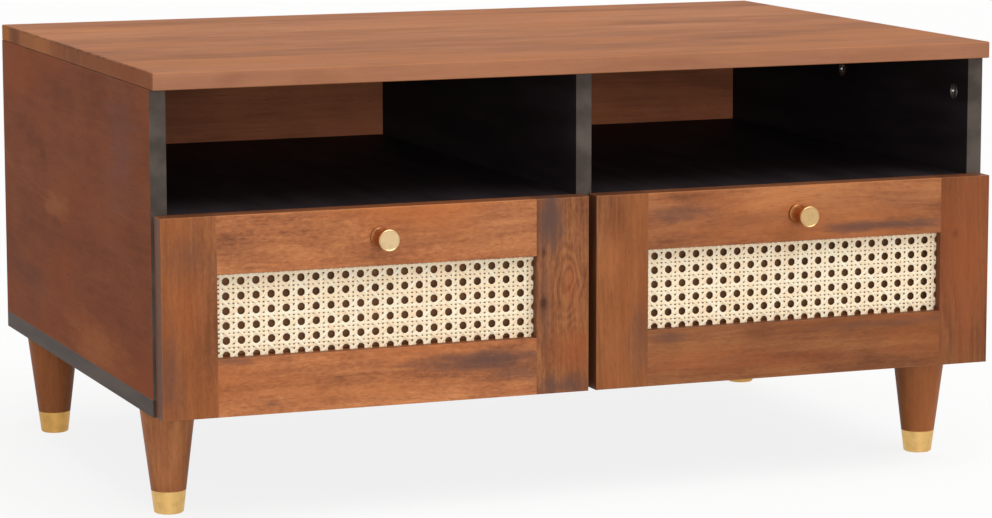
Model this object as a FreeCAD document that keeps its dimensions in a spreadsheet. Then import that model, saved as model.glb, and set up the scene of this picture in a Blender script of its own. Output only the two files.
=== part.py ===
import FreeCAD, Part
import Sketcher
import math
import operator
import os
from types import SimpleNamespace

# A low coffee table of brown wood: a cabinet with two open bays over two drawers,
# cane panels in the drawer fronts and four turned legs with metal ferrules.
# Lengths are in millimetres. X runs along the front, Y towards the back and Z up.
# The origin lies on the floor, under the middle of the table, knobs included.

SIZES = {
    # overall
    "table_width": 800.0,
    "table_height": 395.0,
    "top_depth": 530.0,
    "leg_height": 97.0,
    "bay_height": 109.0,
    # cabinet boards
    "top_thickness": 15.0,
    "top_rounding": 1.2,
    "panel_thickness": 15.0,
    "shelf_thickness": 15.0,
    "board_rounding": 0.6,
    "front_overhang": 13.0,
    "back_thickness": 4.0,
    "back_rebate_width": 7.0,
    # drawer fronts: a frame of stiles and rails around a cane panel
    "front_reveal": 2.3,
    "front_spacing": 7.4,
    "front_thickness": 19.0,
    "front_gap": 2.0,
    "front_lip": 1.0,
    "stile_width": 50.0,
    "rail_width": 51.0,
    "tenon_length": 10.0,
    "tenon_thickness": 5.0,
    "tenon_shoulder": 6.0,
    # cane panel, held in a rebate by beads
    "cane_setback": 8.0,
    "cane_thickness": 2.0,
    "cane_rebate_width": 8.0,
    "cane_clearance": 0.2,
    "cane_pitch_across": 13.6,
    "cane_pitch_up": 12.9,
    "cane_hole_width": 5.9,
    "cane_hole_height": 6.9,
    "cane_first_column": 10.2,
    "cane_first_row": 7.5,
    "bead_gap": 0.1,
    # drawer boxes
    "box_board": 12.0,
    "box_rear_gap": 32.5,
    "box_headroom": 23.7,
    "box_side_gap": 2.0,
    "box_bottom_thickness": 4.0,
    "box_bottom_raise": 8.0,
    "box_groove_depth": 6.0,
    "box_groove_play": 0.1,
    # wooden strips that the drawer boxes slide on
    "runner_width": 14.0,
    "runner_thickness": 8.0,
    "runner_rear_gap": 10.0,
    "runner_setback": 2.0,
    "runner_gap": 0.3,
    # knobs
    "knob_length": 27.0,
    "knob_radius": 9.4,
    "knob_rim_width": 1.2,
    "knob_dish": 0.6,
    "knob_disc_thickness": 3.6,
    "knob_neck_radius": 7.6,
    "knob_neck_curve": 18.0,
    "knob_base_radius": 8.6,
    "knob_base_thickness": 3.0,
    "knob_chamfer": 0.5,
    "knob_screw_radius": 2.0,
    "knob_screw_depth": 9.0,
    "knob_screw_head_radius": 4.0,
    "knob_screw_head_height": 2.4,
    # legs
    "leg_top_radius": 25.0,
    "leg_foot_radius": 13.0,
    "leg_inset_side": 30.0,
    "leg_inset_front": 60.0,
    "ferrule_height": 20.5,
    "ferrule_wall": 1.0,
    "ferrule_floor": 1.5,
    "ferrule_chamfer": 1.0,
    "leg_bolt_radius": 4.0,
    "leg_bolt_depth": 30.0,
    "insert_radius": 6.0,
    # cam fittings: a disc in one board draws in the head of a bolt fixed in another
    "cam_radius": 7.4,
    "cam_reach": 34.0,
    "cam_inset": 28.0,
    "cam_hole_radius": 3.2,
    "bolt_radius": 2.6,
    "bolt_head_radius": 3.0,
    "bolt_head_length": 5.0,
    # dowels
    "dowel_radius": 4.0,
    "dowel_reach": 17.0,
    "shelf_dowel_inset": 80.0,
    # screws
    "base_screw_radius": 2.5,
    "base_screw_length": 50.0,
    "base_screw_head_radius": 4.5,
    "base_screw_head_height": 3.0,
    "wood_screw_radius": 1.5,
    "wood_screw_head_radius": 3.0,
    "wood_screw_head_height": 1.8,
    "runner_screw_length": 18.0,
    "runner_screw_inset": 30.0,
    "back_screw_length": 16.0,
    "back_screw_inset": 30.0,
    "front_screw_length": 22.0,
    "front_screw_side_inset": 10.0,
    # play of a fastener in its hole, and the spare depth beyond its end
    "hole_clearance": 0.05,
    "hole_spare": 0.5,
}

# Parts of a board's thickness that fittings take up.
TOP_BOLT_SHARE = 0.7
TOP_DOWEL_SHARE = 0.6
SHELF_DOWEL_SHARE = 0.4
CAM_SHARE = 0.8
INSERT_SHARE = 0.85
INSERT_BOLT_SHARE = 0.8
# Part of the drawer box's height from its edges to the screws of its front.
FRONT_SCREW_SHARE = 0.2
# Part of a cane opening's height that each of its slanting corners takes, and part of the
# hidden margin of the cane that stays whole along its edge.
CANE_CORNER_SHARE = 0.27
CANE_EDGE_SHARE = 0.25

# Hidden fasteners and their holes have few sides, to keep the model light.
FASTENER_SIDES = 6
CAM_SIDES = 12

FULL_TURN = 360.0
TOLERANCE = 1e-6
ANGLE_DIGITS = 6

doc = FreeCAD.newDocument("CoffeeTable")
sheet = doc.addObject("Spreadsheet::Sheet", "Sizes")
for row, (alias, number) in enumerate(SIZES.items(), start=1):
    cell = "B%d" % row
    sheet.set("A%d" % row, alias)
    sheet.set(cell, str(number))
    sheet.setAlias(cell, alias)
doc.recompute()


class Length:
    """A length: its present value and the sheet expression that gives it."""

    def __init__(self, value, text):
        self.value = value
        self.text = text

    def __add__(self, other):
        return combine(self, other, operator.add, "+")

    def __radd__(self, other):
        return combine(other, self, operator.add, "+")

    def __sub__(self, other):
        return combine(self, other, operator.sub, "-")

    def __rsub__(self, other):
        return combine(other, self, operator.sub, "-")

    def __mul__(self, ratio):
        return combine(self, ratio, operator.mul, "*")

    def __truediv__(self, ratio):
        return combine(self, ratio, operator.truediv, "/")

    def __neg__(self):
        return combine(0, self, operator.sub, "-")


def value_of(length):
    return length.value if isinstance(length, Length) else length


def text_of(length):
    return length.text if isinstance(length, Length) else str(length)


def combine(first, second, work, sign):
    """The sum, difference or multiple of lengths, plain where one of them is zero."""
    if sign in "+-" and text_of(second) == "0":
        return first
    if sign == "+" and text_of(first) == "0":
        return second
    if sign == "*" and text_of(second) == "0":
        return 0
    if sign == "-" and text_of(first) == text_of(second):
        return 0
    text = "(%s %s %s)" % (text_of(first), sign, text_of(second))
    return Length(work(value_of(first), value_of(second)), text)


def bind(item, prop, length):
    """Ties a property of an object to the sheet."""
    item.setExpression(prop, text_of(length))


size = SimpleNamespace(**{alias: Length(sheet.get(alias), "Sizes." + alias) for alias in SIZES})

# Sketch plane square to each axis: its role, its own two axes and the way it faces.
AXES = "XYZ"
PLANES = {
    "X": ("YZ_Plane", (1, 2), 1),
    "Y": ("XZ_Plane", (0, 2), -1),
    "Z": ("XY_Plane", (0, 1), 1),
}
pieces = []
corners = {}
cuts = []


def origin_item(body, role):
    return [item for item in body.Origin.OriginFeatures if item.Role == role][0]


def place_at(item, corner):
    """Puts a piece's own origin at a point of the table."""
    for letter, length in zip("xyz", corner):
        bind(item, "Placement.Base." + letter, length)


def new_body(name, corner):
    body = doc.addObject("PartDesign::Body", name)
    body.Label = name
    body.AllowCompound = True
    place_at(body, corner)
    pieces.append(body)
    corners[name] = corner
    return body


def new_sketch(body, axis, offset=0):
    """A sketch square to an axis, moved along it from the body's origin."""
    role, across, facing = PLANES[axis]
    sketch = body.newObject("Sketcher::SketchObject", "Outline")
    sketch.AttachmentSupport = [(origin_item(body, role), "")]
    sketch.MapMode = "FlatFace"
    if isinstance(offset, Length):
        bind(sketch, "AttachmentOffset.Base.z", offset if facing > 0 else -offset)
    return sketch


def pin(sketch, item, point, place):
    """Holds a point of a sketch at its distances from the sketch's origin."""
    for kind, axis, length in zip(("DistanceX", "DistanceY"), (-2, -1), place):
        if isinstance(length, Length):
            index = sketch.addConstraint(Sketcher.Constraint(kind, -1, 1, item, point, length.value))
            sketch.setExpression("Constraints[%d]" % index, length.text)
        else:
            sketch.addConstraint(Sketcher.Constraint("PointOnObject", item, point, axis))


def set_radius(sketch, item, radius):
    index = sketch.addConstraint(Sketcher.Constraint("Radius", item, radius.value))
    sketch.setExpression("Constraints[%d]" % index, radius.text)


def arc_between(begin, end, radius):
    """An arc from one point to another about a centre on the right of the way there."""
    chord = end - begin
    right = FreeCAD.Vector(chord.y, -chord.x, 0).normalize()
    centre = (begin + end) / 2 + right * math.sqrt(radius ** 2 - (chord.Length / 2) ** 2)
    first = math.atan2(end.y - centre.y, end.x - centre.x)
    last = math.atan2(begin.y - centre.y, begin.x - centre.x)
    if last < first:
        last += 2 * math.pi
    return Part.ArcOfCircle(Part.Circle(centre, FreeCAD.Vector(0, 0, 1), radius), first, last)


def draw_outline(sketch, points, curves=None):
    """A closed outline with a corner at each point. A curve is hollow, starts at the point
    that has its number and has the radius given with it."""
    curves = curves or {}
    spots = [FreeCAD.Vector(value_of(across), value_of(up), 0) for across, up in points]
    sides = []
    for number, (begin, end) in enumerate(zip(spots, spots[1:] + spots[:1])):
        if number in curves:
            item = sketch.addGeometry(arc_between(begin, end, curves[number].value))
            sides.append((item, 2, 1))
        else:
            item = sketch.addGeometry(Part.LineSegment(begin, end))
            sides.append((item, 1, 2))
    for (item, begin, end), (after, after_begin, after_end) in zip(sides, sides[1:] + sides[:1]):
        sketch.addConstraint(Sketcher.Constraint("Coincident", item, end, after, after_begin))
    for (item, begin, end), point in zip(sides, points):
        pin(sketch, item, begin, point)
    for number, radius in curves.items():
        set_radius(sketch, sides[number][0], radius)


def draw_rectangle(sketch, low, high):
    draw_outline(sketch, [low, (high[0], low[1]), high, (low[0], high[1])])


def draw_polygon(sketch, centre, radius, sides=FASTENER_SIDES):
    """An even polygon whose corners lie at a radius from its centre."""
    corner_points = []
    for number in range(sides):
        angle = 2 * math.pi * number / sides
        across = centre[0] + radius * round(math.cos(angle), ANGLE_DIGITS)
        up = centre[1] + radius * round(math.sin(angle), ANGLE_DIGITS)
        corner_points.append((across, up))
    draw_outline(sketch, corner_points)


def add_pad(body, sketch, length):
    """Raises a sketch along the way it faces."""
    pad = body.newObject("PartDesign::Pad", "Pad")
    pad.Profile = sketch
    bind(pad, "Length", length)
    return pad


def add_cut(body, sketch, axis, towards, depth):
    """Sinks a sketch into a body, up or down its axis."""
    pocket = body.newObject("PartDesign::Pocket", "Cut")
    pocket.Profile = sketch
    pocket.Reversed = towards * PLANES[axis][2] > 0
    bind(pocket, "Length", depth)
    cuts.append(pocket)
    return pocket


def local(body, axis, place):
    """A place of the table as it lies in a sketch of a body, square to an axis."""
    low = corners[body.Label]
    return tuple(place[number] - low[number] for number in PLANES[axis][1])


def face_sketch(body, axis, face):
    """A sketch on a face of a body, at a level of the table."""
    return new_sketch(body, axis, face - corners[body.Label][AXES.index(axis)])


def carve(body, axis, face, towards, low, high, depth):
    """A square-cornered recess that starts from a face square to an axis."""
    sketch = face_sketch(body, axis, face)
    draw_rectangle(sketch, local(body, axis, low), local(body, axis, high))
    return add_cut(body, sketch, axis, towards, depth)


def repeat(body, features, rows):
    """Repeats features in rows. Each row has an axis, a step and a count."""
    if not rows:
        return
    pattern = body.newObject("PartDesign::MultiTransform", "Repeats")
    pattern.Originals = features
    lines = []
    for axis, step, count in rows:
        line = body.newObject("PartDesign::LinearPattern", "Row")
        line.Direction = (origin_item(body, axis + "_Axis"), [""])
        bind(line, "Length", step * (count - 1))
        line.Occurrences = count
        lines.append(line)
    pattern.Transformations = lines
    body.Tip = pattern


def drill(body, axis, face, towards, place, rows, bores, sides=FASTENER_SIDES):
    """Equal holes in rows from one face. Each bore of a hole clears a fastener's radius
    and has a depth from that face."""
    holes = []
    for radius, depth in bores:
        sketch = face_sketch(body, axis, face)
        draw_polygon(sketch, local(body, axis, place), radius + size.hole_clearance, sides)
        holes.append(add_cut(body, sketch, axis, towards, depth))
    repeat(body, holes, rows)


def edges_at(body, wanted):
    """Names of the edges that lie wholly at the given distances from the body's origin."""
    names = []
    for number, edge in enumerate(body.Tip.Shape.Edges, start=1):
        box = edge.BoundBox
        reach = {"x": (box.XMin, box.XMax), "y": (box.YMin, box.YMax), "z": (box.ZMin, box.ZMax)}
        gaps = []
        for letter, place in wanted.items():
            gaps += [abs(end - value_of(place)) for end in reach[letter]]
        if max(gaps, default=0) < TOLERANCE:
            names.append("Edge%d" % number)
    return names


def soften(body, radius, places=({},)):
    """Rounds the edges at the given distances from the body's origin, or all of them."""
    doc.recompute()
    base = body.Tip
    names = sorted({name for wanted in places for name in edges_at(body, wanted)})
    rounding = body.newObject("PartDesign::Fillet", "Rounding")
    rounding.Base = (base, names)
    bind(rounding, "Radius", radius)


def make_board(name, low, high):
    """A flat board between two corners."""
    body = new_body(name, low)
    sketch = new_sketch(body, "Z")
    draw_rectangle(sketch, (0, 0), (high[0] - low[0], high[1] - low[1]))
    add_pad(body, sketch, high[2] - low[2])
    return body


def make_turned(name, axis, foot, points, curves=None):
    """Turns an outline about an upright or front-to-back axis. Each point has a radius
    and a height up the axis."""
    body = new_body(name, foot)
    sketch = new_sketch(body, "Y" if axis == "Z" else "Z")
    draw_outline(sketch, points, curves)
    turning = body.newObject("PartDesign::Revolution", "Turning")
    turning.Profile = sketch
    turning.ReferenceAxis = (sketch, ["V_Axis"])
    turning.Angle = FULL_TURN
    return body


def make_fasteners(name, axis, foot, sections, rows=()):
    """Rows of equal fasteners. Each is a rod in sections, given by radius and length."""
    body = new_body(name, foot)
    rods = []
    level = 0
    for radius, length in sections:
        below = level
        level = below + length
        sketch = new_sketch(body, axis, below if PLANES[axis][2] > 0 else level)
        draw_polygon(sketch, (0, 0), radius)
        rods.append(add_pad(body, sketch, length))
    repeat(body, rods, rows)
    return body


def wood_screw(length):
    """Sections of a wood screw, from its point to its head."""
    head = (size.wood_screw_head_radius, size.wood_screw_head_height)
    return [(size.wood_screw_radius, length - size.wood_screw_head_height), head]


def wood_screw_bores(depth):
    """Bores for a wood screw through a board, with a recess for its head."""
    head = (size.wood_screw_head_radius, size.wood_screw_head_height)
    return [(size.wood_screw_radius, depth), head]


# Levels and places that several pieces share.
half_width = size.table_width / 2
half_panel = size.panel_thickness / 2
inner_x = half_width - size.panel_thickness
panel_middle_x = half_width - half_panel
bay_width = inner_x - half_panel
bay_step = inner_x + half_panel
knob_proud = size.knob_length + size.front_thickness + size.front_gap - size.front_overhang
rear_y = (size.top_depth + knob_proud) / 2
top_front_y = rear_y - size.top_depth
front_y = top_front_y + size.front_overhang
back_y = rear_y - size.back_thickness
carcass_depth = size.top_depth - size.front_overhang
shelf_depth = carcass_depth - size.back_thickness
frame_back_y = front_y - size.front_gap
face_y = frame_back_y - size.front_thickness
base_z = size.leg_height
floor_z = base_z + size.panel_thickness
under_top_z = size.table_height - size.top_thickness
shelf_z = under_top_z - size.bay_height
under_shelf_z = shelf_z - size.shelf_thickness
shelf_middle_z = shelf_z - size.shelf_thickness / 2

# Rows that place the fittings and bore the holes for them.
panel_row = ("X", panel_middle_x, 3)
bay_row = ("X", bay_step, 2)
cam_step = carcass_depth / 2 - size.cam_inset
cam_row = ("Y", cam_step, 3)
top_dowel_row = ("Y", cam_step, 2)
shelf_dowel_row = ("Y", shelf_depth - size.shelf_dowel_inset * 2, 2)
cam_y = front_y + size.cam_inset
top_dowel_y = cam_y + cam_step / 2
shelf_dowel_y = front_y + size.shelf_dowel_inset
cam_z = under_top_z - size.cam_reach

top_bolt_depth = size.top_thickness * TOP_BOLT_SHARE
top_dowel_depth = size.top_thickness * TOP_DOWEL_SHARE
shelf_dowel_depth = size.panel_thickness * SHELF_DOWEL_SHARE
dowel_hold = size.dowel_reach + size.hole_spare
cam_thickness = size.panel_thickness * CAM_SHARE
base_screw_hold = size.base_screw_length - size.panel_thickness + size.hole_spare

# Top: one slab over the whole cabinet, flush at the sides and the rear.
top_high = (half_width, rear_y, size.table_height)
top = make_board("table_top", (-half_width, top_front_y, under_top_z), top_high)
soften(top, size.top_rounding)
top_bolt_bores = [(size.bolt_radius, top_bolt_depth + size.hole_spare)]
top_dowel_bores = [(size.dowel_radius, top_dowel_depth + size.hole_spare)]
top_bolt_rows = [panel_row, cam_row]
top_dowel_rows = [panel_row, top_dowel_row]
drill(top, "Z", under_top_z, 1, (-panel_middle_x, cam_y), top_bolt_rows, top_bolt_bores)
drill(top, "Z", under_top_z, 1, (-panel_middle_x, top_dowel_y), top_dowel_rows, top_dowel_bores)


def make_upright(name, low_x, end_y, shelf_faces):
    """An upright panel between the bottom board and the top. Its front corners are rounded.
    Each shelf face has holes for a shelf's dowels, and the first has the top's cams."""
    high_x = low_x + size.panel_thickness
    middle_x = low_x + half_panel
    upright = make_board(name, (low_x, front_y, floor_z), (high_x, end_y, under_top_z))
    soften(upright, size.board_rounding, [{"x": 0, "y": 0}, {"x": size.panel_thickness, "y": 0}])
    bolt_bores = [(size.bolt_head_radius, size.cam_reach)]
    drill(upright, "Z", under_top_z, -1, (middle_x, cam_y), [cam_row], bolt_bores)
    dowel_bores = [(size.dowel_radius, dowel_hold)]
    drill(upright, "Z", under_top_z, -1, (middle_x, top_dowel_y), [top_dowel_row], dowel_bores)
    screw_bores = [(size.base_screw_radius, base_screw_hold)]
    drill(upright, "Z", floor_z, 1, (middle_x, cam_y), [cam_row], screw_bores)
    cam_face, cam_way = shelf_faces[0]
    cam_place = (cam_face, cam_y, cam_z)
    cam_bores = [(size.cam_radius, cam_thickness + size.hole_spare)]
    drill(upright, "X", cam_face, cam_way, cam_place, [cam_row], cam_bores, CAM_SIDES)
    dowel_bores = [(size.dowel_radius, shelf_dowel_depth + size.hole_spare)]
    for face, way in shelf_faces:
        place = (face, shelf_dowel_y, shelf_middle_z)
        drill(upright, "X", face, way, place, [shelf_dowel_row], dowel_bores)
    return upright


# Side panels and the divider between the two bays.
left_side = make_upright("side_panel_left", -half_width, rear_y, [(-inner_x, -1)])
right_side = make_upright("side_panel_right", inner_x, rear_y, [(inner_x, 1)])
divider = make_upright("centre_divider", -half_panel, back_y, [(half_panel, -1), (-half_panel, 1)])

# Back panel, in rebates of the sides and screwed to the sides and the divider.
rebate_x = inner_x + size.back_rebate_width
back_screw_x = inner_x + size.back_rebate_width / 2
back_screw_z = floor_z + size.back_screw_inset
back_screw_column = ("Z", under_top_z - floor_z - size.back_screw_inset * 2, 2)
back_screw_rows = [("X", back_screw_x, 3), back_screw_column]
back_screw_hold = size.back_screw_length - size.back_thickness + size.hole_spare
for upright, low_x, high_x in ((left_side, -rebate_x, -inner_x), (right_side, inner_x, rebate_x)):
    low = (low_x, rear_y, floor_z)
    high = (high_x, rear_y, under_top_z)
    carve(upright, "Y", rear_y, -1, low, high, size.back_thickness)
for upright, middle_x in ((left_side, -back_screw_x), (divider, 0), (right_side, back_screw_x)):
    place = (middle_x, back_y, back_screw_z)
    bores = [(size.wood_screw_radius, back_screw_hold)]
    drill(upright, "Y", back_y, -1, place, [back_screw_column], bores)
back = make_board("back_panel", (-rebate_x, back_y, floor_z), (rebate_x, rear_y, under_top_z))
back_screw_place = (-back_screw_x, rear_y, back_screw_z)
drill(back, "Y", rear_y, -1, back_screw_place, back_screw_rows, wood_screw_bores(size.back_thickness))
back_screw_foot = (-back_screw_x, rear_y - size.back_screw_length, back_screw_z)
back_screw = wood_screw(size.back_screw_length)
make_fasteners("back_screws", "Y", back_screw_foot, back_screw, back_screw_rows)

# Shelves over the drawers, held between the uprights by dowels.
shelf_dowel_length = size.dowel_reach + shelf_dowel_depth
for name, low_x in (("shelf_left", -inner_x), ("shelf_right", half_panel)):
    high_x = low_x + bay_width
    shelf = make_board(name, (low_x, front_y, under_shelf_z), (high_x, back_y, shelf_z))
    soften(shelf, size.board_rounding, [{"y": 0, "z": 0}, {"y": 0, "z": size.shelf_thickness}])
    for end_x, way in ((low_x, 1), (high_x, -1)):
        place = (end_x, shelf_dowel_y, shelf_middle_z)
        drill(shelf, "X", end_x, way, place, [shelf_dowel_row], [(size.dowel_radius, dowel_hold)])
shelf_dowel_foot = (-inner_x - shelf_dowel_depth, shelf_dowel_y, shelf_middle_z)
shelf_end_row = ("X", bay_width + shelf_dowel_depth * 2 - shelf_dowel_length, 2)
shelf_dowel_rows = [shelf_end_row, bay_row, shelf_dowel_row]
shelf_dowel = [(size.dowel_radius, shelf_dowel_length)]
make_fasteners("shelf_dowels", "X", shelf_dowel_foot, shelf_dowel, shelf_dowel_rows)

# Bottom board, under the uprights. Screws from below hold it and threaded inserts take the legs.
leg_x = half_width - size.leg_inset_side
leg_y = front_y + size.leg_inset_front
leg_rows = [("X", leg_x * 2, 2), ("Y", carcass_depth - size.leg_inset_front * 2, 2)]
insert_length = size.panel_thickness * INSERT_SHARE
base_screw_rows = [panel_row, cam_row]
base_screw_foot = (-panel_middle_x, cam_y, base_z)
base_head = (size.base_screw_head_radius, size.base_screw_head_height)
base_shank = (size.base_screw_radius, size.base_screw_length - size.base_screw_head_height)
base_screw_bores = [(size.base_screw_radius, size.panel_thickness), base_head]
insert_bores = [(size.insert_radius, insert_length)]
bottom = make_board("bottom_board", (-half_width, front_y, base_z), (half_width, rear_y, floor_z))
soften(bottom, size.board_rounding, [{"y": 0, "z": 0}, {"y": 0, "z": size.panel_thickness}])
drill(bottom, "Z", base_z, 1, base_screw_foot, base_screw_rows, base_screw_bores)
drill(bottom, "Z", base_z, 1, (-leg_x, leg_y), leg_rows, insert_bores)
make_fasteners("bottom_screws", "Z", base_screw_foot, [base_head, base_shank], base_screw_rows)

# Bolts, dowels and cams between the top and the uprights.
top_bolt_foot = (-panel_middle_x, cam_y, cam_z)
top_bolt_shank = size.cam_reach + top_bolt_depth - size.bolt_head_length
top_bolt = [(size.bolt_head_radius, size.bolt_head_length), (size.bolt_radius, top_bolt_shank)]
make_fasteners("top_cam_bolts", "Z", top_bolt_foot, top_bolt, top_bolt_rows)
top_dowel_foot = (-panel_middle_x, top_dowel_y, under_top_z - size.dowel_reach)
top_dowel = [(size.dowel_radius, size.dowel_reach + top_dowel_depth)]
make_fasteners("top_dowels", "Z", top_dowel_foot, top_dowel, top_dowel_rows)
cam_corner = (-inner_x - cam_thickness, cam_y - size.cam_radius, cam_z - size.cam_radius)
top_cams = new_body("top_cams", cam_corner)


def add_cams(low_x, bolt_x, rows):
    """Rows of cam discs. Each has a cross hole for the head of a bolt."""
    radius = size.cam_radius
    disc = new_sketch(top_cams, "X", low_x)
    draw_polygon(disc, (radius, radius), radius, CAM_SIDES)
    pad = add_pad(top_cams, disc, cam_thickness)
    hole = new_sketch(top_cams, "Z", radius * 2)
    draw_polygon(hole, (bolt_x, radius), size.bolt_head_radius + size.hole_clearance)
    cut = add_cut(top_cams, hole, "Z", -1, radius * 2)
    repeat(top_cams, [pad, cut], rows)


right_cam_x = inner_x * 2 + cam_thickness
add_cams(0, cam_thickness - half_panel, [bay_row, cam_row])
add_cams(right_cam_x, right_cam_x + half_panel, [cam_row])


# Legs: straight tapers whose lower ends are turned down to fit inside the ferrules.
def leg_radius(height):
    return size.leg_foot_radius + (size.leg_top_radius - size.leg_foot_radius) * (height / size.leg_height)


shoulder_radius = leg_radius(size.ferrule_height)
spigot_gap = size.ferrule_wall + size.hole_clearance
leg_points = [
    (0, size.ferrule_floor),
    (leg_radius(size.ferrule_floor) - spigot_gap, size.ferrule_floor),
    (shoulder_radius - spigot_gap, size.ferrule_height),
    (shoulder_radius, size.ferrule_height),
    (size.leg_top_radius, size.leg_height),
    (0, size.leg_height),
]
ferrule_points = [
    (0, 0),
    (size.leg_foot_radius - size.ferrule_chamfer, 0),
    (leg_radius(size.ferrule_chamfer), size.ferrule_chamfer),
    (shoulder_radius, size.ferrule_height),
    (shoulder_radius - size.ferrule_wall, size.ferrule_height),
    (leg_radius(size.ferrule_floor) - size.ferrule_wall, size.ferrule_floor),
    (0, size.ferrule_floor),
]
leg_bores = [(size.leg_bolt_radius, size.leg_bolt_depth + size.hole_spare)]
rear_leg_y = rear_y - size.leg_inset_front
for end, foot in (
    ("front_left", (-leg_x, leg_y, 0)),
    ("front_right", (leg_x, leg_y, 0)),
    ("rear_left", (-leg_x, rear_leg_y, 0)),
    ("rear_right", (leg_x, rear_leg_y, 0)),
):
    leg = make_turned("leg_" + end, "Z", foot, leg_points)
    drill(leg, "Z", size.leg_height, -1, foot, (), leg_bores)
    make_turned("ferrule_" + end, "Z", foot, ferrule_points)

# Threaded inserts in the bottom board and the double-ended bolts that join the legs to them.
inserts = new_body("threaded_inserts", (-leg_x, leg_y, base_z))
ring = new_sketch(inserts, "Z")
draw_polygon(ring, (0, 0), size.insert_radius)
draw_polygon(ring, (0, 0), size.leg_bolt_radius + size.hole_clearance)
repeat(inserts, [add_pad(inserts, ring, insert_length)], leg_rows)
leg_bolt = [(size.leg_bolt_radius, size.leg_bolt_depth + size.panel_thickness * INSERT_BOLT_SHARE)]
make_fasteners("leg_bolts", "Z", (-leg_x, leg_y, base_z - size.leg_bolt_depth), leg_bolt, leg_rows)

# Runners beside the uprights, screwed down to the bottom board.
runner_y = front_y + size.runner_setback
runner_length = shelf_depth - size.runner_setback - size.runner_rear_gap
runner_top_z = floor_z + size.runner_thickness
runner_middle_x = size.runner_width / 2
runner_screw_y = runner_y + size.runner_screw_inset
runner_screw_row = ("Y", runner_length - size.runner_screw_inset * 2, 2)
runner_screw_hold = size.runner_screw_length - size.runner_thickness + size.hole_spare
for name, low_x in (
    ("runner_left_outer", -inner_x),
    ("runner_left_inner", -half_panel - size.runner_width),
    ("runner_right_inner", half_panel),
    ("runner_right_outer", inner_x - size.runner_width),
):
    high = (low_x + size.runner_width, runner_y + runner_length, runner_top_z)
    runner = make_board(name, (low_x, runner_y, floor_z), high)
    place = (low_x + runner_middle_x, runner_screw_y, runner_top_z)
    bores = wood_screw_bores(size.runner_thickness)
    drill(runner, "Z", runner_top_z, -1, place, [runner_screw_row], bores)
runner_screw_rows = [("X", bay_width - size.runner_width, 2), bay_row, runner_screw_row]
runner_screw_x = -inner_x + runner_middle_x
runner_screw_place = (runner_screw_x, runner_screw_y, floor_z)
runner_screw_bores = [(size.wood_screw_radius, runner_screw_hold)]
drill(bottom, "Z", floor_z, -1, runner_screw_place, runner_screw_rows, runner_screw_bores)
runner_screw_foot = (runner_screw_x, runner_screw_y, runner_top_z - size.runner_screw_length)
runner_screw = wood_screw(size.runner_screw_length)
make_fasteners("runner_screws", "Z", runner_screw_foot, runner_screw, runner_screw_rows)

# Drawers. Heights of the front frame and of its opening, and widths that both drawers share.
front_width = half_width - size.front_reveal - size.front_spacing / 2
front_top_z = shelf_z + size.front_lip
opening_width = front_width - size.stile_width * 2
opening_low_z = base_z + size.rail_width
opening_high_z = front_top_z - size.rail_width
opening_height = opening_high_z - opening_low_z
rebate_depth = size.front_thickness - size.cane_setback
rebate_y = face_y + size.cane_setback
mortise_y = face_y + (size.front_thickness - size.tenon_thickness) / 2
tenon_height = size.rail_width - size.tenon_shoulder * 2 - size.cane_rebate_width
box_z = runner_top_z + size.runner_gap
box_top_z = under_shelf_z - size.box_headroom
box_height = box_top_z - box_z
box_end_y = back_y - size.box_rear_gap
box_front_end_y = frame_back_y + size.box_board
box_back_y = box_end_y - size.box_board
groove_low_z = box_z + size.box_bottom_raise
groove_height = size.box_bottom_thickness + size.box_groove_play * 2
knob_z = front_top_z - size.rail_width / 2


def make_stile(name, low_x, inner_way):
    """A full-height upright of the frame, with mortises for the rails' tenons and
    a stopped rebate behind the opening. The inner way is the way to the opening."""
    high_x = low_x + size.stile_width
    edge_x = high_x if inner_way > 0 else low_x
    outer_x = 0 if inner_way > 0 else size.stile_width
    stile = make_board(name, (low_x, face_y, base_z), (high_x, frame_back_y, front_top_z))
    front_edges = [{"x": outer_x, "y": 0}, {"y": 0, "z": 0}, {"y": 0, "z": front_top_z - base_z}]
    soften(stile, size.board_rounding, front_edges)
    for low_z in (base_z + size.tenon_shoulder, front_top_z - size.tenon_shoulder - tenon_height):
        low = (edge_x, mortise_y, low_z)
        high = (edge_x, mortise_y + size.tenon_thickness, low_z + tenon_height)
        carve(stile, "X", edge_x, -inner_way, low, high, size.tenon_length + size.hole_spare)
    rebate_low_x = edge_x - size.cane_rebate_width if inner_way > 0 else edge_x
    rebate_high_x = rebate_low_x + size.cane_rebate_width
    low = (rebate_low_x, frame_back_y, opening_low_z - size.cane_rebate_width)
    high = (rebate_high_x, frame_back_y, opening_high_z + size.cane_rebate_width)
    carve(stile, "Y", frame_back_y, -1, low, high, rebate_depth)
    return stile


def make_rail(name, low_x, low_z, opening_way):
    """A rail between the stiles, with a tenon at each end and a rebate along the opening."""
    high_x = low_x + opening_width
    rail = make_board(name, (low_x, face_y, low_z), (high_x, frame_back_y, low_z + size.rail_width))
    soften(rail, size.board_rounding, [{"y": 0, "z": 0}, {"y": 0, "z": size.rail_width}])
    rebate_z = low_z + size.rail_width - size.cane_rebate_width if opening_way > 0 else low_z
    low = (low_x, frame_back_y, rebate_z)
    high = (high_x, frame_back_y, rebate_z + size.cane_rebate_width)
    carve(rail, "Y", frame_back_y, -1, low, high, rebate_depth)
    shoulder = size.tenon_shoulder if opening_way > 0 else size.tenon_shoulder + size.cane_rebate_width
    tenons = new_sketch(rail, "X", -size.tenon_length)
    low = (mortise_y - face_y, shoulder)
    draw_rectangle(tenons, low, (low[0] + size.tenon_thickness, low[1] + tenon_height))
    add_pad(rail, tenons, opening_width + size.tenon_length * 2)
    return rail


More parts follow.
